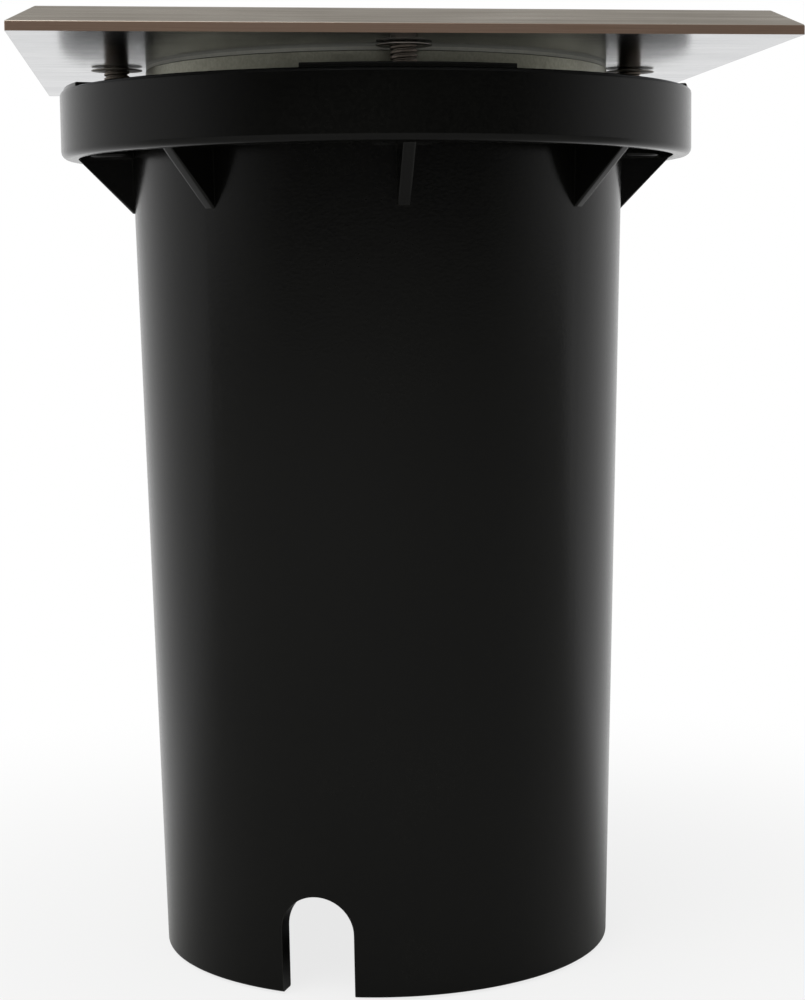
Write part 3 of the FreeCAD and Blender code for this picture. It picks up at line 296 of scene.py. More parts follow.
# Zinc-plated steel sheet and screws: bluish, with a light spangle.
ZINC_STEEL = Finish(
    "steel_zinc_plated", "#b9bcc0", "#9c9fa3", (0.26, 0.42), grain_mm=0.6, relief_mm=0.005,
    patch_mm=3.0, metallic=1.0, worn="#d5d7da", worn_mm=0.12, worn_roughness=0.2,
)
# Steatite, pressed and fired, unglazed: chalky off-white with faint grey specks.
STEATITE = Finish(
    "steatite_unglazed", "#e6e1d3", "#d3cdbd", (0.55, 0.72), grain_mm=0.35, relief_mm=0.015,
    patch_mm=3.0, ior=1.6,
)
# Polyamide, moulded natural white: slightly warm, satin.
WHITE_POLYAMIDE = Finish(
    "polyamide_white_moulded", "#e2e0d6", "#d6d3c6", (0.3, 0.42), patch_mm=7.0, ior=1.53,
    worn="#efeee8", worn_mm=0.15,
)
# Extruded silicone wire insulation, brown.
BROWN_INSULATION = Finish(
    "silicone_insulation_brown", "#5a3220", "#4b2817", (0.35, 0.48), grain_mm=0.5, relief_mm=0.004,
    patch_mm=4.0, ior=1.42,
)
# The same insulation in blue.
BLUE_INSULATION = replace(
    BROWN_INSULATION, name="silicone_insulation_blue", base="#215fa8", shade="#1a4f90",
)
# The same insulation in green with yellow.
EARTH_INSULATION = replace(
    BROWN_INSULATION, name="silicone_insulation_green_yellow", base="#3f8f2d", shade="#d8c21f",
    patch_mm=3.0,
)
# Copper strip, hot tinned: soft silver with a faint warm cast.
TINNED_COPPER = Finish(
    "copper_tinned", "#c6c3bb", "#aca9a0", (0.25, 0.4), grain_mm=0.5, patch_mm=1.5, metallic=1.0,
)
# Black polyamide, moulded: a shade lighter and glossier than the sleeve.
BLACK_POLYAMIDE = Finish(
    "polyamide_black_moulded", "#1a1a1a", "#222220", (0.28, 0.4), grain_mm=0.35, relief_mm=0.008,
    patch_mm=8.0, ior=1.53, worn="#3a3a38", worn_mm=0.2,
)
# Black nitrile rubber: deep, dusty and matt.
BLACK_RUBBER = Finish(
    "nitrile_rubber_black", "#191918", "#23231f", (0.55, 0.72), grain_mm=0.5, relief_mm=0.01,
    patch_mm=5.0, ior=1.52,
)
# Spun aluminium lamp shell: light satin grey with turning rings.
SPUN_ALUMINIUM = Finish(
    "aluminium_spun", "#d0d0ce", "#b9b9b6", (0.25, 0.36), Grain.TURNED, grain_mm=0.3,
    patch_mm=12.0, metallic=1.0,
)
# Moulded polycarbonate optic: clear, with a slight haze that softens what lies behind it.
CLEAR_POLYCARBONATE = Finish(
    "polycarbonate_clear_moulded", "#f3f5f4", "#e8ecea", (0.03, 0.07), grain_mm=0.8, relief_mm=0.002,
    patch_mm=10.0, ior=1.58, transmission=1.0,
)
# Glass-cloth laminate with white solder resist.
WHITE_RESIST = Finish(
    "laminate_white_resist", "#e9e9e2", "#dcdcd3", (0.3, 0.42), grain_mm=0.7, relief_mm=0.008,
    patch_mm=8.0, ior=1.55,
)
# Phosphor in silicone on a light-emitting chip: strong yellow, matt, faintly cloudy.
PHOSPHOR = Finish(
    "phosphor_silicone_yellow", "#e3c23c", "#d4ae2c", (0.35, 0.5), grain_mm=0.25, relief_mm=0.004,
    patch_mm=0.8, ior=1.42,
)
# White moulded chip package: bright and satin.
CHIP_PACKAGE = Finish(
    "polyphthalamide_white", "#efeee9", "#e2e0d8", (0.32, 0.45), grain_mm=0.3, relief_mm=0.004,
    patch_mm=2.0, ior=1.58,
)
# Nickel-plated brass pins: warm silver, smooth.
NICKEL_BRASS = Finish(
    "brass_nickel_plated", "#c9c3b4", "#b3ad9e", (0.16, 0.26), grain_mm=0.3, relief_mm=0.003,
    patch_mm=1.5, metallic=1.0,
)


def dress(node: str, finish: Finish) -> None:
    """Gives a CAD node its finish."""
    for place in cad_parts[node].material_slots:
        place.material = finish.material()


def linked(name: str, data: ID) -> Object:
    """Makes an object of a mesh, a camera or a light, and links it to the scene."""
    made = bpy.data.objects.new(name, data)
    bpy.context.scene.collection.objects.link(made)
    return made


def shown(name: str, mesh: BMesh, *finishes: Finish) -> Object:
    """Makes an object of a finished bmesh, with its place in its mesh, smooth but for its sharp edges.

    Args:
        name: the object's name.
        mesh: the bmesh, which is freed.
        finishes: the materials, in the order of the faces' material numbers.

    Returns:
        The object, linked to the scene.
    """
    data = bpy.data.meshes.new(name)
    mesh.to_mesh(data)
    mesh.free()
    data.shade_smooth()
    data.set_sharp_from_angle(angle=math.radians(SHARP_DEGREES))
    for finish in finishes:
        data.materials.append(finish.material())
    return linked(name, data)


def even_shading(piece: Object) -> None:
    """Keeps large faces flat beside small roundings."""
    piece.modifiers.new("even_shading", "WEIGHTED_NORMAL").keep_sharp = True


def round_corners(mesh: BMesh, points: Sequence[BMVert], corners: Sequence[Corner], arc: int) -> None:
    """Rounds the corners of a flat outline.

    Args:
        mesh: the mesh that holds the outline.
        points: its corners' vertices.
        corners: the same corners, with their roundings in mm.
        arc: segments of each rounding.
    """
    for point, (_, _, rounding) in zip(points, corners):
        if rounding:
            one, other = [edge.other_vert(point).co - point.co for edge in point.link_edges]
            reach = rounding * MM / math.tan(one.angle(other) / 2)
            bmesh.ops.bevel(
                mesh, geom=[point], offset=reach, offset_type="OFFSET", segments=arc,
                profile=0.5, affect="VERTICES", material=-1,
            )


def soften(mesh: BMesh, edges: Sequence[BMEdge], radius: float, segments: int = 3) -> None:
    """Rounds some edges of a solid by a radius in mm."""
    bmesh.ops.bevel(
        mesh, geom=edges, offset=radius * MM, offset_type="OFFSET", segments=segments,
        profile=0.5, affect="EDGES", material=-1,
    )


def turned(corners: Sequence[Corner], steps: int = 192, arc: int = 4, degrees: float = 360.0) -> BMesh:
    """Spins an outline about Z.

    Args:
        corners: radius, height and rounding of each corner, in mm.
        steps: how many steps the spin takes.
        arc: segments of each rounding.
        degrees: how far it is spun; less than a full turn starts on +X and is closed by end faces.

    Returns:
        The closed mesh.
    """
    mesh = bmesh.new()
    points = [mesh.verts.new((radius * MM, 0.0, height * MM)) for radius, height, _ in corners]
    mesh.faces.new(points)
    round_corners(mesh, points, corners, arc)
    full = degrees == 360.0
    if full:
        bmesh.ops.delete(mesh, geom=mesh.faces[:], context="FACES_ONLY")
        on_axis = [e for e in mesh.edges if all(abs(v.co.x) < SAME for v in e.verts)]
        bmesh.ops.delete(mesh, geom=on_axis, context="EDGES")
    bmesh.ops.spin(
        mesh, geom=mesh.verts[:] + mesh.edges[:] + mesh.faces[:], axis=(0, 0, 1), cent=(0, 0, 0),
        angle=math.radians(degrees), steps=steps, use_merge=full,
    )
    bmesh.ops.remove_doubles(mesh, verts=mesh.verts, dist=SAME)
    bmesh.ops.recalc_face_normals(mesh, faces=mesh.faces)
    return mesh


def extruded(corners: Sequence[Corner], width: float) -> BMesh:
    """Pulls an upright outline in XZ along Y, half to each side.

    Args:
        corners: X, height and rounding of each corner, in mm.
        width: thickness along Y, in mm.

    Returns:
        The closed mesh.
    """
    mesh = bmesh.new()
    points = [mesh.verts.new((x * MM, -width / 2 * MM, height * MM)) for x, height, _ in corners]
    mesh.faces.new(points)
    round_corners(mesh, points, corners, arc=16)
    pulled = bmesh.ops.extrude_face_region(mesh, geom=mesh.faces[:])
    moved = [v for v in pulled["geom"] if isinstance(v, BMVert)]
    bmesh.ops.translate(mesh, verts=moved, vec=(0, width * MM, 0))
    bmesh.ops.recalc_face_normals(mesh, faces=mesh.faces)
    return mesh


def placed(mesh: BMesh, x: float = 0.0, y: float = 0.0, z: float = 0.0, degrees: float = 0.0) -> BMesh:
    """Turns a mesh about Z, then moves it by x, y and z in mm, and returns the same mesh."""
    place = Matrix.Translation(Vector((x, y, z)) * MM) @ Matrix.Rotation(math.radians(degrees), 4, "Z")
    bmesh.ops.transform(mesh, matrix=place, verts=mesh.verts)
    return mesh


def merged(meshes: Sequence[BMesh]) -> BMesh:
    """Puts several meshes into one without joining them, and frees them."""
    whole = bmesh.new()
    for mesh in meshes:
        step = bpy.data.meshes.new("step")
        mesh.to_mesh(step)
        mesh.free()
        whole.from_mesh(step)
        bpy.data.meshes.remove(step)
    return whole


def combined(body: BMesh, tool: BMesh, operation: str) -> BMesh:
    """Joins a tool to a body, cuts it out or keeps what they share.

    Args:
        body: the mesh that is worked on, freed.
        tool: the other mesh, freed.
        operation: UNION, DIFFERENCE or INTERSECT.

    Returns:
        The new mesh.
    """
    work = [shown("work", mesh) for mesh in (body, tool)]
    modifier = work[0].modifiers.new("work", "BOOLEAN")
    modifier.operation = operation
    modifier.solver = "EXACT"
    modifier.object = work[1]
    result = bmesh.new()
    result.from_object(work[0], bpy.context.evaluated_depsgraph_get())
    for piece in work:
        data = piece.data
        bpy.data.objects.remove(piece)
        bpy.data.meshes.remove(data)
    return result


def hand_over(piece: Object, body: str, slot: str, *nodes: str) -> None:
    """Puts a finished piece on its body in place of CAD nodes.

    Args:
        piece: the piece.
        body: the body that it rides on.
        slot: the record's material slot; it is not used.
        nodes: the CAD nodes that it stands for.
    """
    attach(piece, body)
    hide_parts(*nodes)
    log.info("%s: %d faces", piece.name, len(piece.data.polygons))


def tinted(mesh: BMesh, number: int) -> BMesh:
    """Gives every face of a mesh one material number, and returns the mesh."""
    for face in mesh.faces:
        face.material_index = number
    return mesh


def block(size: Triple, centre: Triple, soft: float) -> BMesh:
    """Makes a box with rounded edges.

    Args:
        size: its lengths along X, Y and Z, in mm.
        centre: its middle, in mm.
        soft: radius of its edges, in mm.

    Returns:
        The closed mesh.
    """
    mesh = bmesh.new()
    bmesh.ops.create_cube(mesh, size=1.0)
    bmesh.ops.scale(mesh, verts=mesh.verts, vec=Vector(size) * MM)
    soften(mesh, mesh.edges[:], soft, segments=2)
    return placed(mesh, *centre)


@dataclass
class ScrewCircle:
    """Where the four cover screws stand."""

    radius: float = 41.5
    names: tuple[str, ...] = ("front", "right", "back", "left")

    def places(self) -> list[tuple[str, float, float, float]]:
        """Gives name, angle in degrees, X and Y in mm of each screw."""
        made = []
        for k, name in enumerate(self.names):
            degrees = -90.0 + 90.0 * k
            angle = math.radians(degrees)
            made.append((name, degrees, self.radius * math.cos(angle), self.radius * math.sin(angle)))
        return made

    def at_each(self, corners: Sequence[Corner], steps: int) -> BMesh:
        """Spins one outline about the axis of each screw, and puts the four into one mesh."""
        return merged([placed(turned(corners, steps), x, y) for _, _, x, y in self.places()])


@dataclass
class InstallationSleeve:
    """The moulded sleeve with its collar, ribs, pads and cable notch, and its brass inserts. In mm."""

    foot_radius: float = 36.5
    foot_rounds: Span = (0.25, 0.4)  # of its inner and its outer edge
    taper: float = 2.87  # how much its radius grows from the foot to under the collar
    wall: float = 3.3
    wall_round: float = 0.6
    collar_low: float = 127.6
    collar_round: float = 1.2
    collar_top: float = 138.0
    collar_radius: float = 50.5
    skirt_radius: float = 47.5
    skirt_round: float = 0.5
    channel_round: float = 0.8
    seat_round: float = 0.3
    flange: float = 135.0  # height of its underside
    ledge: float = 132.0  # height of its face
    backing: float = 129.0  # height where the tube widens under it
    counterbore: float = 37.37
    pad_top: float = 138.65
    pad_half_degrees: float = 18.0
    pad_rounds: Span = (0.25, 0.2)  # of its outer and its inner edge
    pad_clear: float = 0.02  # from the counterbore
    rib_count: int = 8
    rib_thickness: float = 1.9
    rib_low: float = 119.1
    rib_bite: float = 0.9  # how far it runs into the tube's wall
    rib_land: float = 0.3  # its flat lower end
    rib_lap: float = 0.6  # how far it runs into the skirt, the flange and the ledge
    rib_round: float = 0.4
    notch_width: float = 11.5
    notch_height: float = 15.5
    notch_degrees: float = -112.5
    notch_reach: float = 40.0
    notch_arch: float = 0.999  # share of half its width that its top is rounded by
    boss_radius: float = 5.0
    boss_low: float = 127.85
    boss_floor: float = 1.0
    boss_round: float = 0.5
    lap: float = 0.5  # how far bosses and pads run into what they stand on
    tip_radius: float = 2.25
    insert_radius: float = 2.82
    insert_low: float = 130.55
    insert_flare: Span = (0.3, 0.1)  # how much the hole widens, and how far below the pad it begins
    screws: ScrewCircle = field(default_factory=ScrewCircle)

    def tube_radius(self, height: float) -> float:
        """The tube's outside radius at a height."""
        return self.foot_radius + self.taper * height / self.collar_low

    def shell(self) -> BMesh:
        """Spins the tube, ledge, flange and skirt as one closed wall."""
        backing_radius = self.counterbore + self.wall
        tube_top = self.tube_radius(self.backing)
        return turned(
            (
                (self.foot_radius - self.wall, 0.0, self.foot_rounds[0]),
                (self.foot_radius, 0.0, self.foot_rounds[1]),
                (tube_top, self.backing, self.wall_round),
                (backing_radius, self.backing + backing_radius - tube_top, self.wall_round),
                (backing_radius, self.flange, self.channel_round),
                (self.skirt_radius, self.flange, self.channel_round),
                (self.skirt_radius, self.collar_low, self.skirt_round),
                (self.collar_radius, self.collar_low, self.collar_round),
                (self.collar_radius, self.collar_top, self.wall_round),
                (self.counterbore, self.collar_top, self.seat_round),
                (self.counterbore, self.ledge, 0.0),
                (self.tube_radius(self.ledge) - self.wall, self.ledge, self.seat_round),
            ),
            steps=256,
        )

    def ribs(self) -> BMesh:
        """The gussets under the collar, with rounded lower edges."""
        made = []
        near = 0.1  # mm, within which an edge counts as at a height or a radius
        foot = self.tube_radius(self.rib_low)
        inner = foot - self.rib_bite
        outer = self.skirt_radius + self.rib_lap
        seat = self.counterbore + self.rib_bite
        high = self.flange + self.rib_lap
        outline = (
            (inner, self.rib_low, 0.0),
            (foot + self.rib_land, self.rib_low, 0.0),
            (self.skirt_radius + self.rib_land, self.collar_low, 0.0),
            (outer, self.collar_low + self.rib_round, 0.0),
            (outer, high, 0.0),
            (seat, high, 0.0),
            (seat, self.ledge - self.rib_lap, 0.0),
            (inner, self.backing, 0.0),
        )
        for k in range(self.rib_count):
            rib = extruded(outline, self.rib_thickness)
            low = [
                e for e in rib.edges
                if abs(e.verts[0].co.y - e.verts[1].co.y) < SAME
                and all(v.co.z < (self.collar_low + near) * MM for v in e.verts)
                and all(v.co.x > (inner + near) * MM for v in e.verts)
            ]
            soften(rib, low, self.rib_round)
            made.append(placed(rib, degrees=-90.0 + 360.0 / self.rib_count * k))
        return merged(made)

    def bosses(self) -> BMesh:
        """The round bosses that hold the inserts, under the flange."""
        top = self.flange + self.lap
        return self.screws.at_each(
            ((0, self.boss_low, 0), (self.boss_radius, self.boss_low, self.boss_round),
             (self.boss_radius, top, 0), (0, top, 0)), steps=48)

    def pads(self) -> BMesh:
        """The raised stretches of the collar's face round the screws."""
        inner = self.counterbore + self.pad_clear
        outer = self.collar_radius - self.wall_round
        low = self.collar_top - self.lap
        outline = (
            (inner, low, 0), (outer, low, 0), (outer, self.pad_top, self.pad_rounds[0]),
            (inner, self.pad_top, self.pad_rounds[1]),
        )
        return merged([
            placed(turned(outline, steps=24, degrees=2 * self.pad_half_degrees),
                   degrees=degrees - self.pad_half_degrees)
            for _, degrees, _, _ in self.screws.places()
        ])

    def insert_holes(self) -> BMesh:
        """What is cut out for the inserts and the screws' ends."""
        over = self.pad_top + PAST
        floor = self.boss_low + self.boss_floor
        widening, depth = self.insert_flare
        return self.screws.at_each(
            ((0, floor, 0), (self.tip_radius, floor, 0), (self.tip_radius, self.insert_low, 0),
             (self.insert_radius, self.insert_low, 0), (self.insert_radius, self.pad_top - depth, 0),
             (self.insert_radius + widening, over, 0), (0, over, 0)), steps=48)

    def notch(self) -> BMesh:
        """What is cut out for the cable: a slot with a round top, drawn across X and turned to its place."""
        half = self.notch_width / 2
        arch = half * self.notch_arch
        slot = extruded(
            ((-half, -PAST, 0), (half, -PAST, 0), (half, self.notch_height, arch),
             (-half, self.notch_height, arch)),
            width=self.notch_reach,
        )
        placed(slot, y=-self.foot_radius)
        return placed(slot, degrees=self.notch_degrees + 90.0)

    def build(self) -> None:
        """Makes the sleeve and dresses the inserts."""
        body = combined(self.shell(), self.ribs(), "UNION")
        body = combined(body, self.bosses(), "UNION")
        body = combined(body, self.pads(), "UNION")
        body = combined(body, self.insert_holes(), "DIFFERENCE")
        body = combined(body, self.notch(), "DIFFERENCE")
        piece = shown("sleeve_moulding", body, SLEEVE_PLASTIC)
        even_shading(piece)
        hand_over(piece, "sleeve", "black_plastic", "installation_sleeve")
        dress("threaded_inserts", TURNED_BRASS)


class Face(IntEnum):
    """How a face of the plate was made. The value is its material number."""

    BRUSHED = 0
    CUT = 1
    ROLLED = 2


@dataclass
class Cover:
    """The bevelled steel plate, its glass and the gasket between them. In mm."""

    half: float = 55.0
    low: float = 142.0
    edge: float = 1.35  # height of its upright sides
    bevel_width: float = 3.85
    bevel_height: float = 2.4
    window: float = 27.12
    window_flare: float = 0.5
    window_round: float = 0.2
    window_lower_edge: float = 0.12
    head_radius: float = 4.14
    hole_radius: float = 2.25
    hole_upper_edge: float = 0.08
    head_land: float = 0.3
    soft_edge: float = 0.14
    cut_depth: float = 0.21  # upright faces this near the sides are cut ones
    screws: ScrewCircle = field(default_factory=ScrewCircle)

    @property
    def top(self) -> float:
        """The height of its upper face."""
        return self.low + self.edge + self.bevel_height

    def slab(self) -> BMesh:
        """The plate without its holes: a block whose top is inset and raised, with softened edges."""
        mesh = bmesh.new()
        bmesh.ops.create_cube(mesh, size=1.0)
        bmesh.ops.scale(mesh, verts=mesh.verts, vec=Vector((2 * self.half, 2 * self.half, self.edge)) * MM)
        bmesh.ops.translate(mesh, verts=mesh.verts, vec=(0, 0, (self.low + self.edge / 2) * MM))
        top = [f for f in mesh.faces if f.normal.z > LYING]
        bmesh.ops.inset_region(
            mesh, faces=top, thickness=self.bevel_width * MM, depth=self.bevel_height * MM,
            use_even_offset=True,
        )
        under = (self.low + self.soft_edge) * MM
        soften(mesh, [e for e in mesh.edges if max(v.co.z for v in e.verts) > under], self.soft_edge)
        return mesh

    def window_tool(self) -> BMesh:
        """What is cut out for the light, with the flare of its upper edge."""
        under, over = self.low - PAST, self.top + PAST
        edge = self.window_lower_edge
        return turned(
            ((0, under, 0), (self.window + PAST + edge, under, 0), (self.window, self.low + edge, 0),
             (self.window, self.top - self.window_flare, self.window_round),
             (self.window + self.window_flare + PAST, over, 0), (0, over, 0)),
        )

    def screw_hole_tools(self) -> BMesh:
        """What is cut out for the four countersunk screws."""
        under, over = self.low - PAST, self.top + PAST
        land = self.top - self.head_land
        throat = land - (self.head_radius - self.hole_radius)
        edge = self.hole_upper_edge
        return self.screws.at_each(
            ((0, under, 0), (self.hole_radius, under, 0), (self.hole_radius, throat, 0),
             (self.head_radius, land, 0), (self.head_radius, self.top - edge, 0),
             (self.head_radius + PAST + edge, over, 0), (0, over, 0)), steps=64)

    def build(self) -> None:
        """Makes the plate, gives its faces their finishes and dresses the glass and the gasket."""
        plate = combined(self.slab(), self.window_tool(), "DIFFERENCE")
        plate = combined(plate, self.screw_hole_tools(), "DIFFERENCE")
        reach = (self.half - self.cut_depth) * MM
        for face in plate.faces:
            middle, up = face.calc_center_median(), face.normal.z
            if up < -LYING:
                face.material_index = Face.ROLLED
            elif abs(up) < UPRIGHT and max(abs(middle.x), abs(middle.y)) > reach:
                face.material_index = Face.CUT
            else:
                face.material_index = Face.BRUSHED
        piece = shown("cover_plate_steel", plate, BRUSHED_STAINLESS, CUT_STAINLESS, ROLLED_STAINLESS)
        even_shading(piece)
        hand_over(piece, "cover", "brushed_stainless", "cover_plate")
        dress("glass_lens", CLEAR_GLASS)
        dress("upper_gasket", SILICONE)


@dataclass
class CoverScrews:
    """Four M4 countersunk screws with real threads, and their captive washers. In mm."""

    top: float = 145.65
    length: float = 16.0
    head_radius: float = 4.0
    head_land: float = 0.2
    head_bite: float = 0.25  # how far the head runs into the thread
    head_rounds: Span = (0.06, 0.08)
    crest: float = 2.0
    root: float = 1.66
    pitch: float = 0.7
    flank_span: Span = (0.06, 0.94)  # share of the pitch between the flanks' feet
    crest_span: Span = (0.32, 0.68)  # share of the pitch that the crest takes
    thread_steps: int = 40
    weld: float = 0.002  # points nearer than this become one
    screw_step: float = 37.0  # degrees from one screw's turn to the next
    tip: float = 0.5
    spare: float = 0.1  # how far shapes reach past each other before they are cut or joined
    socket_flats: float = 2.5
    socket_depth: float = 1.5
    washer_top: float = 141.75
    washer_dish: float = 0.03
    washer_sheet: float = 0.15
    washer_round: float = 0.05
    washer_step: float = 25.0
    washer_radius: float = 4.0
    washer_bore: float = 2.02
    washer_teeth: int = 6
    tooth_gap: float = 0.6
    tooth_root: float = 2.9
    screws: ScrewCircle = field(default_factory=ScrewCircle)

    def thread(self, low: float, high: float) -> BMesh:
        """Winds a thread up the Z axis.

        Args:
            low: where it begins.
            high: where it ends.

        Returns:
            A closed bar of thread cut square at both heights.
        """
        mesh = bmesh.new()
        before = 2  # turns wound below the lower end, and as many above the upper one
        start = low - before * self.pitch
        turns = math.ceil((high - low) / self.pitch) + 2 * before
        steps = self.thread_steps
        shape = (
            (self.root, 0.0), (self.root, self.flank_span[0]), (self.crest, self.crest_span[0]),
            (self.crest, self.crest_span[1]), (self.root, self.flank_span[1]), (self.root, 1.0),
        )
        points = [mesh.verts.new((r * MM, 0, (start + share * self.pitch) * MM)) for r, share in shape]
        for one, other in zip(points, points[1:]):
            mesh.edges.new((one, other))
        bmesh.ops.spin(
            mesh, geom=mesh.verts[:] + mesh.edges[:], axis=(0, 0, 1), cent=(0, 0, 0),
            dvec=(0, 0, self.pitch / steps * MM), angle=2 * math.pi * turns, steps=steps * turns,
            use_merge=False,
        )
        bmesh.ops.remove_doubles(mesh, verts=mesh.verts, dist=self.weld * MM)
        for height, up in ((low, -1), (high, 1)):
            bmesh.ops.bisect_plane(
                mesh, geom=mesh.verts[:] + mesh.edges[:] + mesh.faces[:], plane_co=(0, 0, height * MM),
                plane_no=(0, 0, up), clear_outer=True,
            )
        rims = [e for e in mesh.edges if e.is_boundary]
        bmesh.ops.holes_fill(mesh, edges=rims, sides=0)
        bmesh.ops.recalc_face_normals(mesh, faces=mesh.faces)
        return mesh

    def screw(self) -> BMesh:
        """One screw on the Z axis: thread inside its envelope, head and hexagon socket."""
        end = self.top - self.length
        land = self.top - self.head_land
        neck = land - (self.head_radius - self.crest)
        outer, over = self.crest + self.spare, neck + 2 * self.spare
        envelope = turned(
            ((0, end, 0), (self.crest - self.tip, end, 0), (outer, end + self.tip + self.spare, 0),
             (outer, over, 0), (0, over, 0)), steps=64)
        shank = combined(self.thread(end - 3 * self.spare, neck + self.spare), envelope, "INTERSECT")
        low = neck - self.head_bite
        head = turned(
            ((0, low, 0), (self.crest - self.head_bite, low, 0),
             (self.head_radius, land, self.head_rounds[0]),
             (self.head_radius, self.top, self.head_rounds[1]), (0, self.top, 0)), steps=96, arc=3)
        whole = combined(shank, head, "UNION")
        socket = bmesh.new()
        corner = self.socket_flats / math.sqrt(3)
        bmesh.ops.create_cone(
            socket, cap_ends=True, cap_tris=False, segments=6, radius1=corner * MM, radius2=corner * MM,
            depth=2 * self.socket_depth * MM,
        )
        placed(socket, z=self.top)
        return combined(whole, socket, "DIFFERENCE")

    def washer(self) -> BMesh:
        """One slightly dished washer on the Z axis, slit from its bore into teeth that grip the thread."""
        rim = self.washer_top
        bore = rim - self.washer_dish
        ring = turned(
            ((self.washer_bore, bore - self.washer_sheet, 0),
             (self.washer_radius, rim - self.washer_sheet, self.washer_round),
             (self.washer_radius, rim, self.washer_round), (self.washer_bore, bore, 0)), steps=96, arc=3)
        size, centre = (self.tooth_root, self.tooth_gap, 2 * PAST), (self.tooth_root / 2, 0, rim)
        for k in range(self.washer_teeth):
            slit = placed(block(size, centre, self.spare), degrees=360.0 / self.washer_teeth * k)
            ring = combined(ring, slit, "DIFFERENCE")
        return ring

    def build(self) -> None:
        """Makes the four screws, each turned a little further, and their washers."""
        pattern = bpy.data.meshes.new("screw_pattern")
        one = self.screw()
        one.to_mesh(pattern)
        one.free()
        for k, (name, _, x, y) in enumerate(self.screws.places()):
            mesh = bmesh.new()
            mesh.from_mesh(pattern)
            piece = shown(
                f"screw_{name}_steel", placed(mesh, x, y, degrees=self.screw_step * k), SCREW_STEEL,
            )
            even_shading(piece)
            hand_over(piece, f"screw_{name}", "screw_steel", f"cover_screw_{name}")
            washer = shown(
                f"washer_{name}_steel", placed(self.washer(), x, y, degrees=self.washer_step * k),
                SPRING_STEEL,
            )
            hand_over(washer, f"washer_{name}", "screw_steel", f"captive_washer_{name}")
        bpy.data.meshes.remove(pattern)


class BoardFace(IntEnum):
    """What a face of the chip board is made of. The value is its material number."""

    RESIST = 0
    PACKAGE = 1
    GLOW = 2
    SOLDER = 3


@dataclass
class LampFront:
    """The lamp's moulded lens with a lenslet over each chip, and the board behind it. In mm."""

    radius: float = 23.45
    lens_top: float = 130.4
    lens_low: float = 128.8
    lens_edge: float = 0.4
    lens_inner_edge: float = 0.2
    skirt: float = 1.5
    steps: int = 128
    board_top: float = 127.0
    board_low: float = 125.8
    board_edge: float = 0.12
    chips: int = 6
    chip_circle: float = 12.0
    chip_side: float = 3.0
    chip_height: float = 0.7
    chip_edge: float = 0.12
    glow_radius: float = 1.15
    glow_rise: float = 0.08
    glow_depth: float = 0.3
    glow_edge: float = 0.06
    pad_length: float = 0.9
    pad_height: float = 0.12
    pad_edge: float = 0.04
    pad_inset: float = 0.6  # how much narrower than the chip
    pad_lap: float = 0.1  # how far it runs under the chip
    lenslet_radius: float = 5.6
    lenslet_rise: float = 0.5

    def lens(self) -> BMesh:
        """A disc with a skirt that stands on the board, and a low dome over each chip."""
        inner = self.radius - self.skirt
        disc = turned(
            ((0, self.lens_low, 0), (inner, self.lens_low, self.lens_inner_edge), (inner, self.board_top, 0),
             (self.radius, self.board_top, 0), (self.radius, self.lens_top, self.lens_edge),
             (0, self.lens_top, 0)),
            steps=self.steps,
        )
        size = Vector((self.lenslet_radius, self.lenslet_radius, self.lenslet_rise))
        domes = []
        for k in range(self.chips):
            dome = bmesh.new()
            bmesh.ops.create_uvsphere(dome, u_segments=48, v_segments=24, radius=MM)
            bmesh.ops.scale(dome, verts=dome.verts, vec=size)
            placed(dome, x=self.chip_circle, z=self.lens_top)
            domes.append(placed(dome, degrees=360.0 / self.chips * k))
        return combined(disc, merged(domes), "UNION")

    def chip(self) -> list[BMesh]:
        """One chip on X: its white package, the yellow window in it and its two solder pads."""
        side, x = self.chip_side, self.chip_circle
        case = self.chip_height - self.glow_rise
        package = block((side, side, case), (x, 0, self.board_top + case / 2), self.chip_edge)
        top = self.board_top + self.chip_height
        low = top - self.glow_depth
        window = turned(
            ((0, low, 0), (self.glow_radius, low, 0), (self.glow_radius, top, self.glow_edge), (0, top, 0)),
            steps=32, arc=2)
        reach = (side + self.pad_length) / 2 - self.pad_lap
        pads = [
            block((side - self.pad_inset, self.pad_length, self.pad_height),
                  (x, way * reach, self.board_top + self.pad_height / 2), self.pad_edge)
            for way in (-1, 1)
        ]
        return [
            tinted(package, BoardFace.PACKAGE), tinted(placed(window, x=x), BoardFace.GLOW),
            *(tinted(pad, BoardFace.SOLDER) for pad in pads),
        ]

    def board(self) -> BMesh:
        """The round board with its chips."""
        edge = self.board_edge
        parts = [turned(
            ((0, self.board_low, 0), (self.radius, self.board_low, edge), (self.radius, self.board_top, edge),
             (0, self.board_top, 0)), steps=self.steps, arc=2)]
        for k in range(self.chips):
            parts += [placed(piece, degrees=360.0 / self.chips * k) for piece in self.chip()]
        return merged(parts)

    def build(self) -> None:
        """Makes the lens and the board."""
        lens = shown("lamp_optic", self.lens(), CLEAR_POLYCARBONATE)
        hand_over(lens, "lamp", "lamp_lens", "lamp_lens")
        board = shown("lamp_chip_board", self.board(), WHITE_RESIST, CHIP_PACKAGE, PHOSPHOR, TINNED_COPPER)
        even_shading(board)
        hand_over(board, "lamp", "led_board", "lamp_led_board")


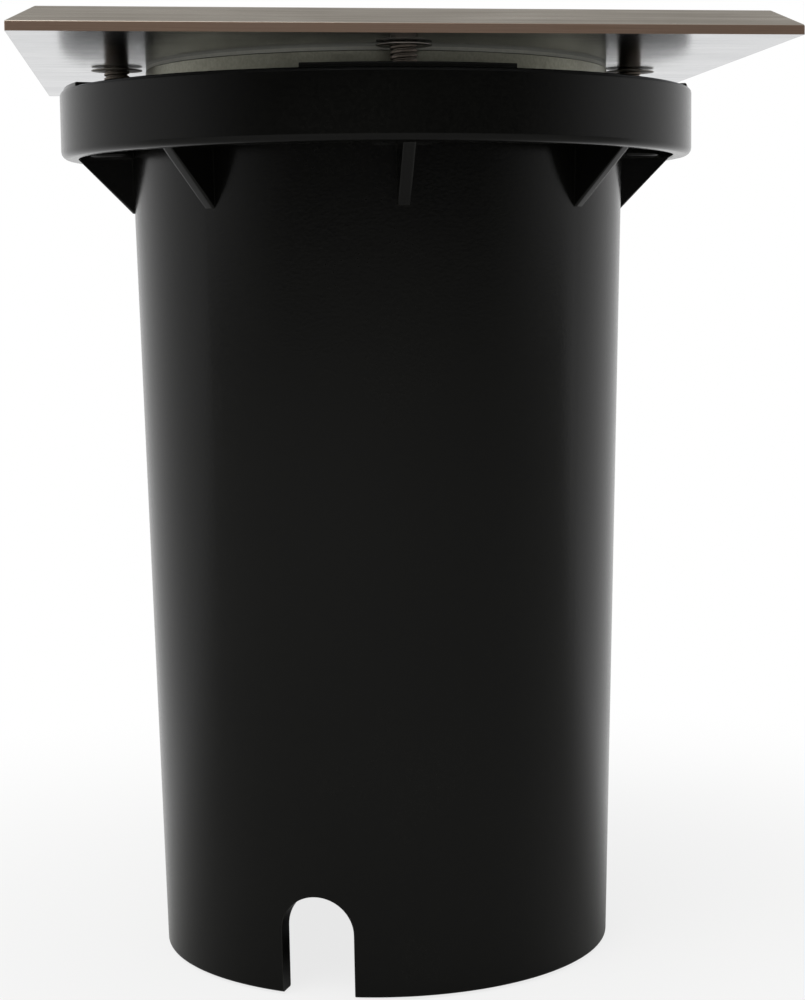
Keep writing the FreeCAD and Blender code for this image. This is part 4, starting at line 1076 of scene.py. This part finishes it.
@dataclass
class Inside:
    """The pieces that show once the cover is off: which finish each one has."""

    finishes: dict[str, Finish] = field(default_factory=lambda: {
        "lamp_housing": CAST_ALUMINIUM,
        "lower_gasket": SILICONE,
        "lampholder_bracket": ZINC_STEEL,
        "bracket_screws": ZINC_STEEL,
        "lampholder": STEATITE,
        "lampholder_contacts": TURNED_BRASS,
        "lampholder_screws": ZINC_STEEL,
        "terminal_block": WHITE_POLYAMIDE,
        "terminal_clamps": TURNED_BRASS,
        "terminal_screws": ZINC_STEEL,
        "live_lead": BROWN_INSULATION,
        "neutral_lead": BLUE_INSULATION,
        "earth_lead": EARTH_INSULATION,
        "earth_terminal": TINNED_COPPER,
        "earth_screw": ZINC_STEEL,
        "gland_body": BLACK_POLYAMIDE,
        "gland_washer": BLACK_RUBBER,
        "gland_locknut": BLACK_POLYAMIDE,
        "gland_nut": BLACK_POLYAMIDE,
        "gland_seal": BLACK_RUBBER,
        "lamp_shell": SPUN_ALUMINIUM,
        "lamp_base": WHITE_POLYAMIDE,
        "lamp_pins": NICKEL_BRASS,
    })

    def build(self) -> None:
        """Dresses each node."""
        for node, finish in self.finishes.items():
            dress(node, finish)
            log.info("%s: %s", node, finish.name)


@dataclass
class Studio:
    """Floor, surroundings, lamp and camera. Angles are in radians, and lengths in metres or as noted."""

    lens: float = 78.826  # mm
    shift: float = -0.06  # share of the sensor
    sensor: float = 36.0  # mm
    clip: Span = (0.01, 20.0)
    place: Triple = (-33.717, -357.394, 109.63)  # mm
    azimuth: float = 0.1308
    pitch: float = 0.1045
    roll: float = -0.0092
    side_span: Span = (-0.8, 0.0)  # from behind the camera to the sides, as a direction's Y
    side_levels: Span = (0.05, 1.0)
    dark_rise: Span = (0.12, 0.36)  # over which height the dark side turns grey, as a direction's Z
    ceiling_rise: Span = (0.25, 0.9)
    ceiling_level: float = 0.5
    floor_radius: float = 4.0
    floor_low: float = -0.0004
    floor_colour: str = "#d8d8d6"
    floor_fade: Span = (0.04, 0.2)  # from the part outwards
    floor_shares: Span = (0.8, 1.0)  # how much of plain white the fade begins and ends with
    floor_mirrored: Span = (-0.01, 0.07)  # over which Y its mirror images turn plain white
    lamp_place: Triple = (-0.45, -0.55, 1.0)
    lamp_aim: Triple = (0.0, 0.0, 0.08)
    lamp_size: float = 0.9
    lamp_watts: float = 6.0

    def camera(self) -> None:
        """Sets the camera at the photograph's angle."""
        data = bpy.data.cameras.new("photo_camera")
        data.lens = self.lens
        data.sensor_width = self.sensor
        data.shift_x = self.shift
        data.clip_start, data.clip_end = self.clip
        camera = linked("photo_camera", data)
        camera.location = Vector(self.place) * MM
        level = Matrix.Rotation(-self.azimuth, 3, "Z")
        tilted = level @ Matrix.Rotation(math.pi / 2 - self.pitch, 3, "X")
        camera.rotation_euler = (tilted @ Matrix.Rotation(self.roll, 3, "Z")).to_euler()
        bpy.context.scene.camera = camera

    def surroundings(self) -> None:
        """White behind and at the sides, a grey ceiling and a low dark side behind the camera."""
        world = bpy.data.worlds.new("studio")
        tree = bare_tree(world)
        way = add_node(tree, "TexCoord").outputs["Generated"]
        split = add_node(tree, "SeparateXYZ", {0: way})
        behind, bright = self.side_levels
        dark = ramp(tree, split.outputs[2], self.dark_rise, (behind, self.ceiling_level), smooth=True)
        sides = ramp(tree, split.outputs[1], self.side_span, (dark, bright), smooth=True)
        ceiling = ramp(tree, split.outputs[2], self.ceiling_rise, smooth=True)
        light = add_node(
            tree, "Mix", {"Factor": ceiling, 2: sides, 3: self.ceiling_level}, data_type="FLOAT",
        )
        path = add_node(tree, "LightPath").outputs
        seen = reckon(tree, "MAXIMUM", path["Is Camera Ray"], path["Is Transmission Ray"])
        strength = add_node(
            tree, "Mix", {"Factor": seen, 2: light.outputs[0], 3: 1.0}, data_type="FLOAT",
        )
        back = add_node(tree, "Background", {"Strength": strength.outputs[0], "Color": WHITE})
        add_node(tree, "OutputWorld", {"Surface": back.outputs[0]})
        bpy.context.scene.world = world

    def floor(self) -> None:
        """A pale floor that keeps the light's shadow near it and fades to plain white further out."""
        mesh = bmesh.new()
        bmesh.ops.create_circle(mesh, cap_ends=True, segments=96, radius=self.floor_radius)
        made = bpy.data.materials.new("pale_floor")
        tree = bare_tree(made)
        place = add_node(tree, "TexCoord").outputs["Object"]
        away = add_node(tree, "VectorMath", {0: place}, operation="LENGTH")
        fade = ramp(tree, away.outputs["Value"], self.floor_fade, self.floor_shares, smooth=True)
        path = add_node(tree, "LightPath").outputs
        behind = add_node(tree, "SeparateXYZ", {0: place})
        mirrored = ramp(tree, behind.outputs[1], self.floor_mirrored, (0.0, path["Is Glossy Ray"]))
        plain = reckon(tree, "MAXIMUM", path["Is Camera Ray"], mirrored)
        share = reckon(tree, "MULTIPLY", fade, plain)
        pale = add_node(tree, "BsdfDiffuse", {"Color": linear(self.floor_colour)})
        white = add_node(tree, "Emission", {"Color": WHITE, "Strength": 1.0})
        mixed = add_node(tree, "MixShader", {0: share, 1: pale.outputs[0], 2: white.outputs[0]})
        add_node(tree, "OutputMaterial", {"Surface": mixed.outputs[0]})
        piece = shown("floor", mesh)
        piece.data.materials.append(made)
        piece.location.z = self.floor_low

    def lamp(self) -> None:
        """One large soft lamp above and in front, to the left."""
        data = bpy.data.lights.new("soft_key", "AREA")
        data.shape = "DISK"
        data.size = self.lamp_size
        data.energy = self.lamp_watts
        lamp = linked("soft_key", data)
        lamp.location = self.lamp_place
        towards = Vector(self.lamp_aim) - Vector(self.lamp_place)
        lamp.rotation_euler = towards.to_track_quat("-Z", "Y").to_euler()

    def build(self) -> None:
        """Sets up the whole studio."""
        bpy.context.scene.view_settings.view_transform = "Standard"
        self.camera()
        self.surroundings()
        self.floor()
        self.lamp()


def main() -> None:
    """Builds the studio and every sub-assembly, and logs each one as it is built."""
    logging.basicConfig(level=logging.INFO, format="%(message)s")
    for part in (Studio(), InstallationSleeve(), Cover(), CoverScrews(), LampFront(), Inside()):
        part.build()
        log.info("%s built", type(part).__name__)


if __name__ == "__main__":
    main()
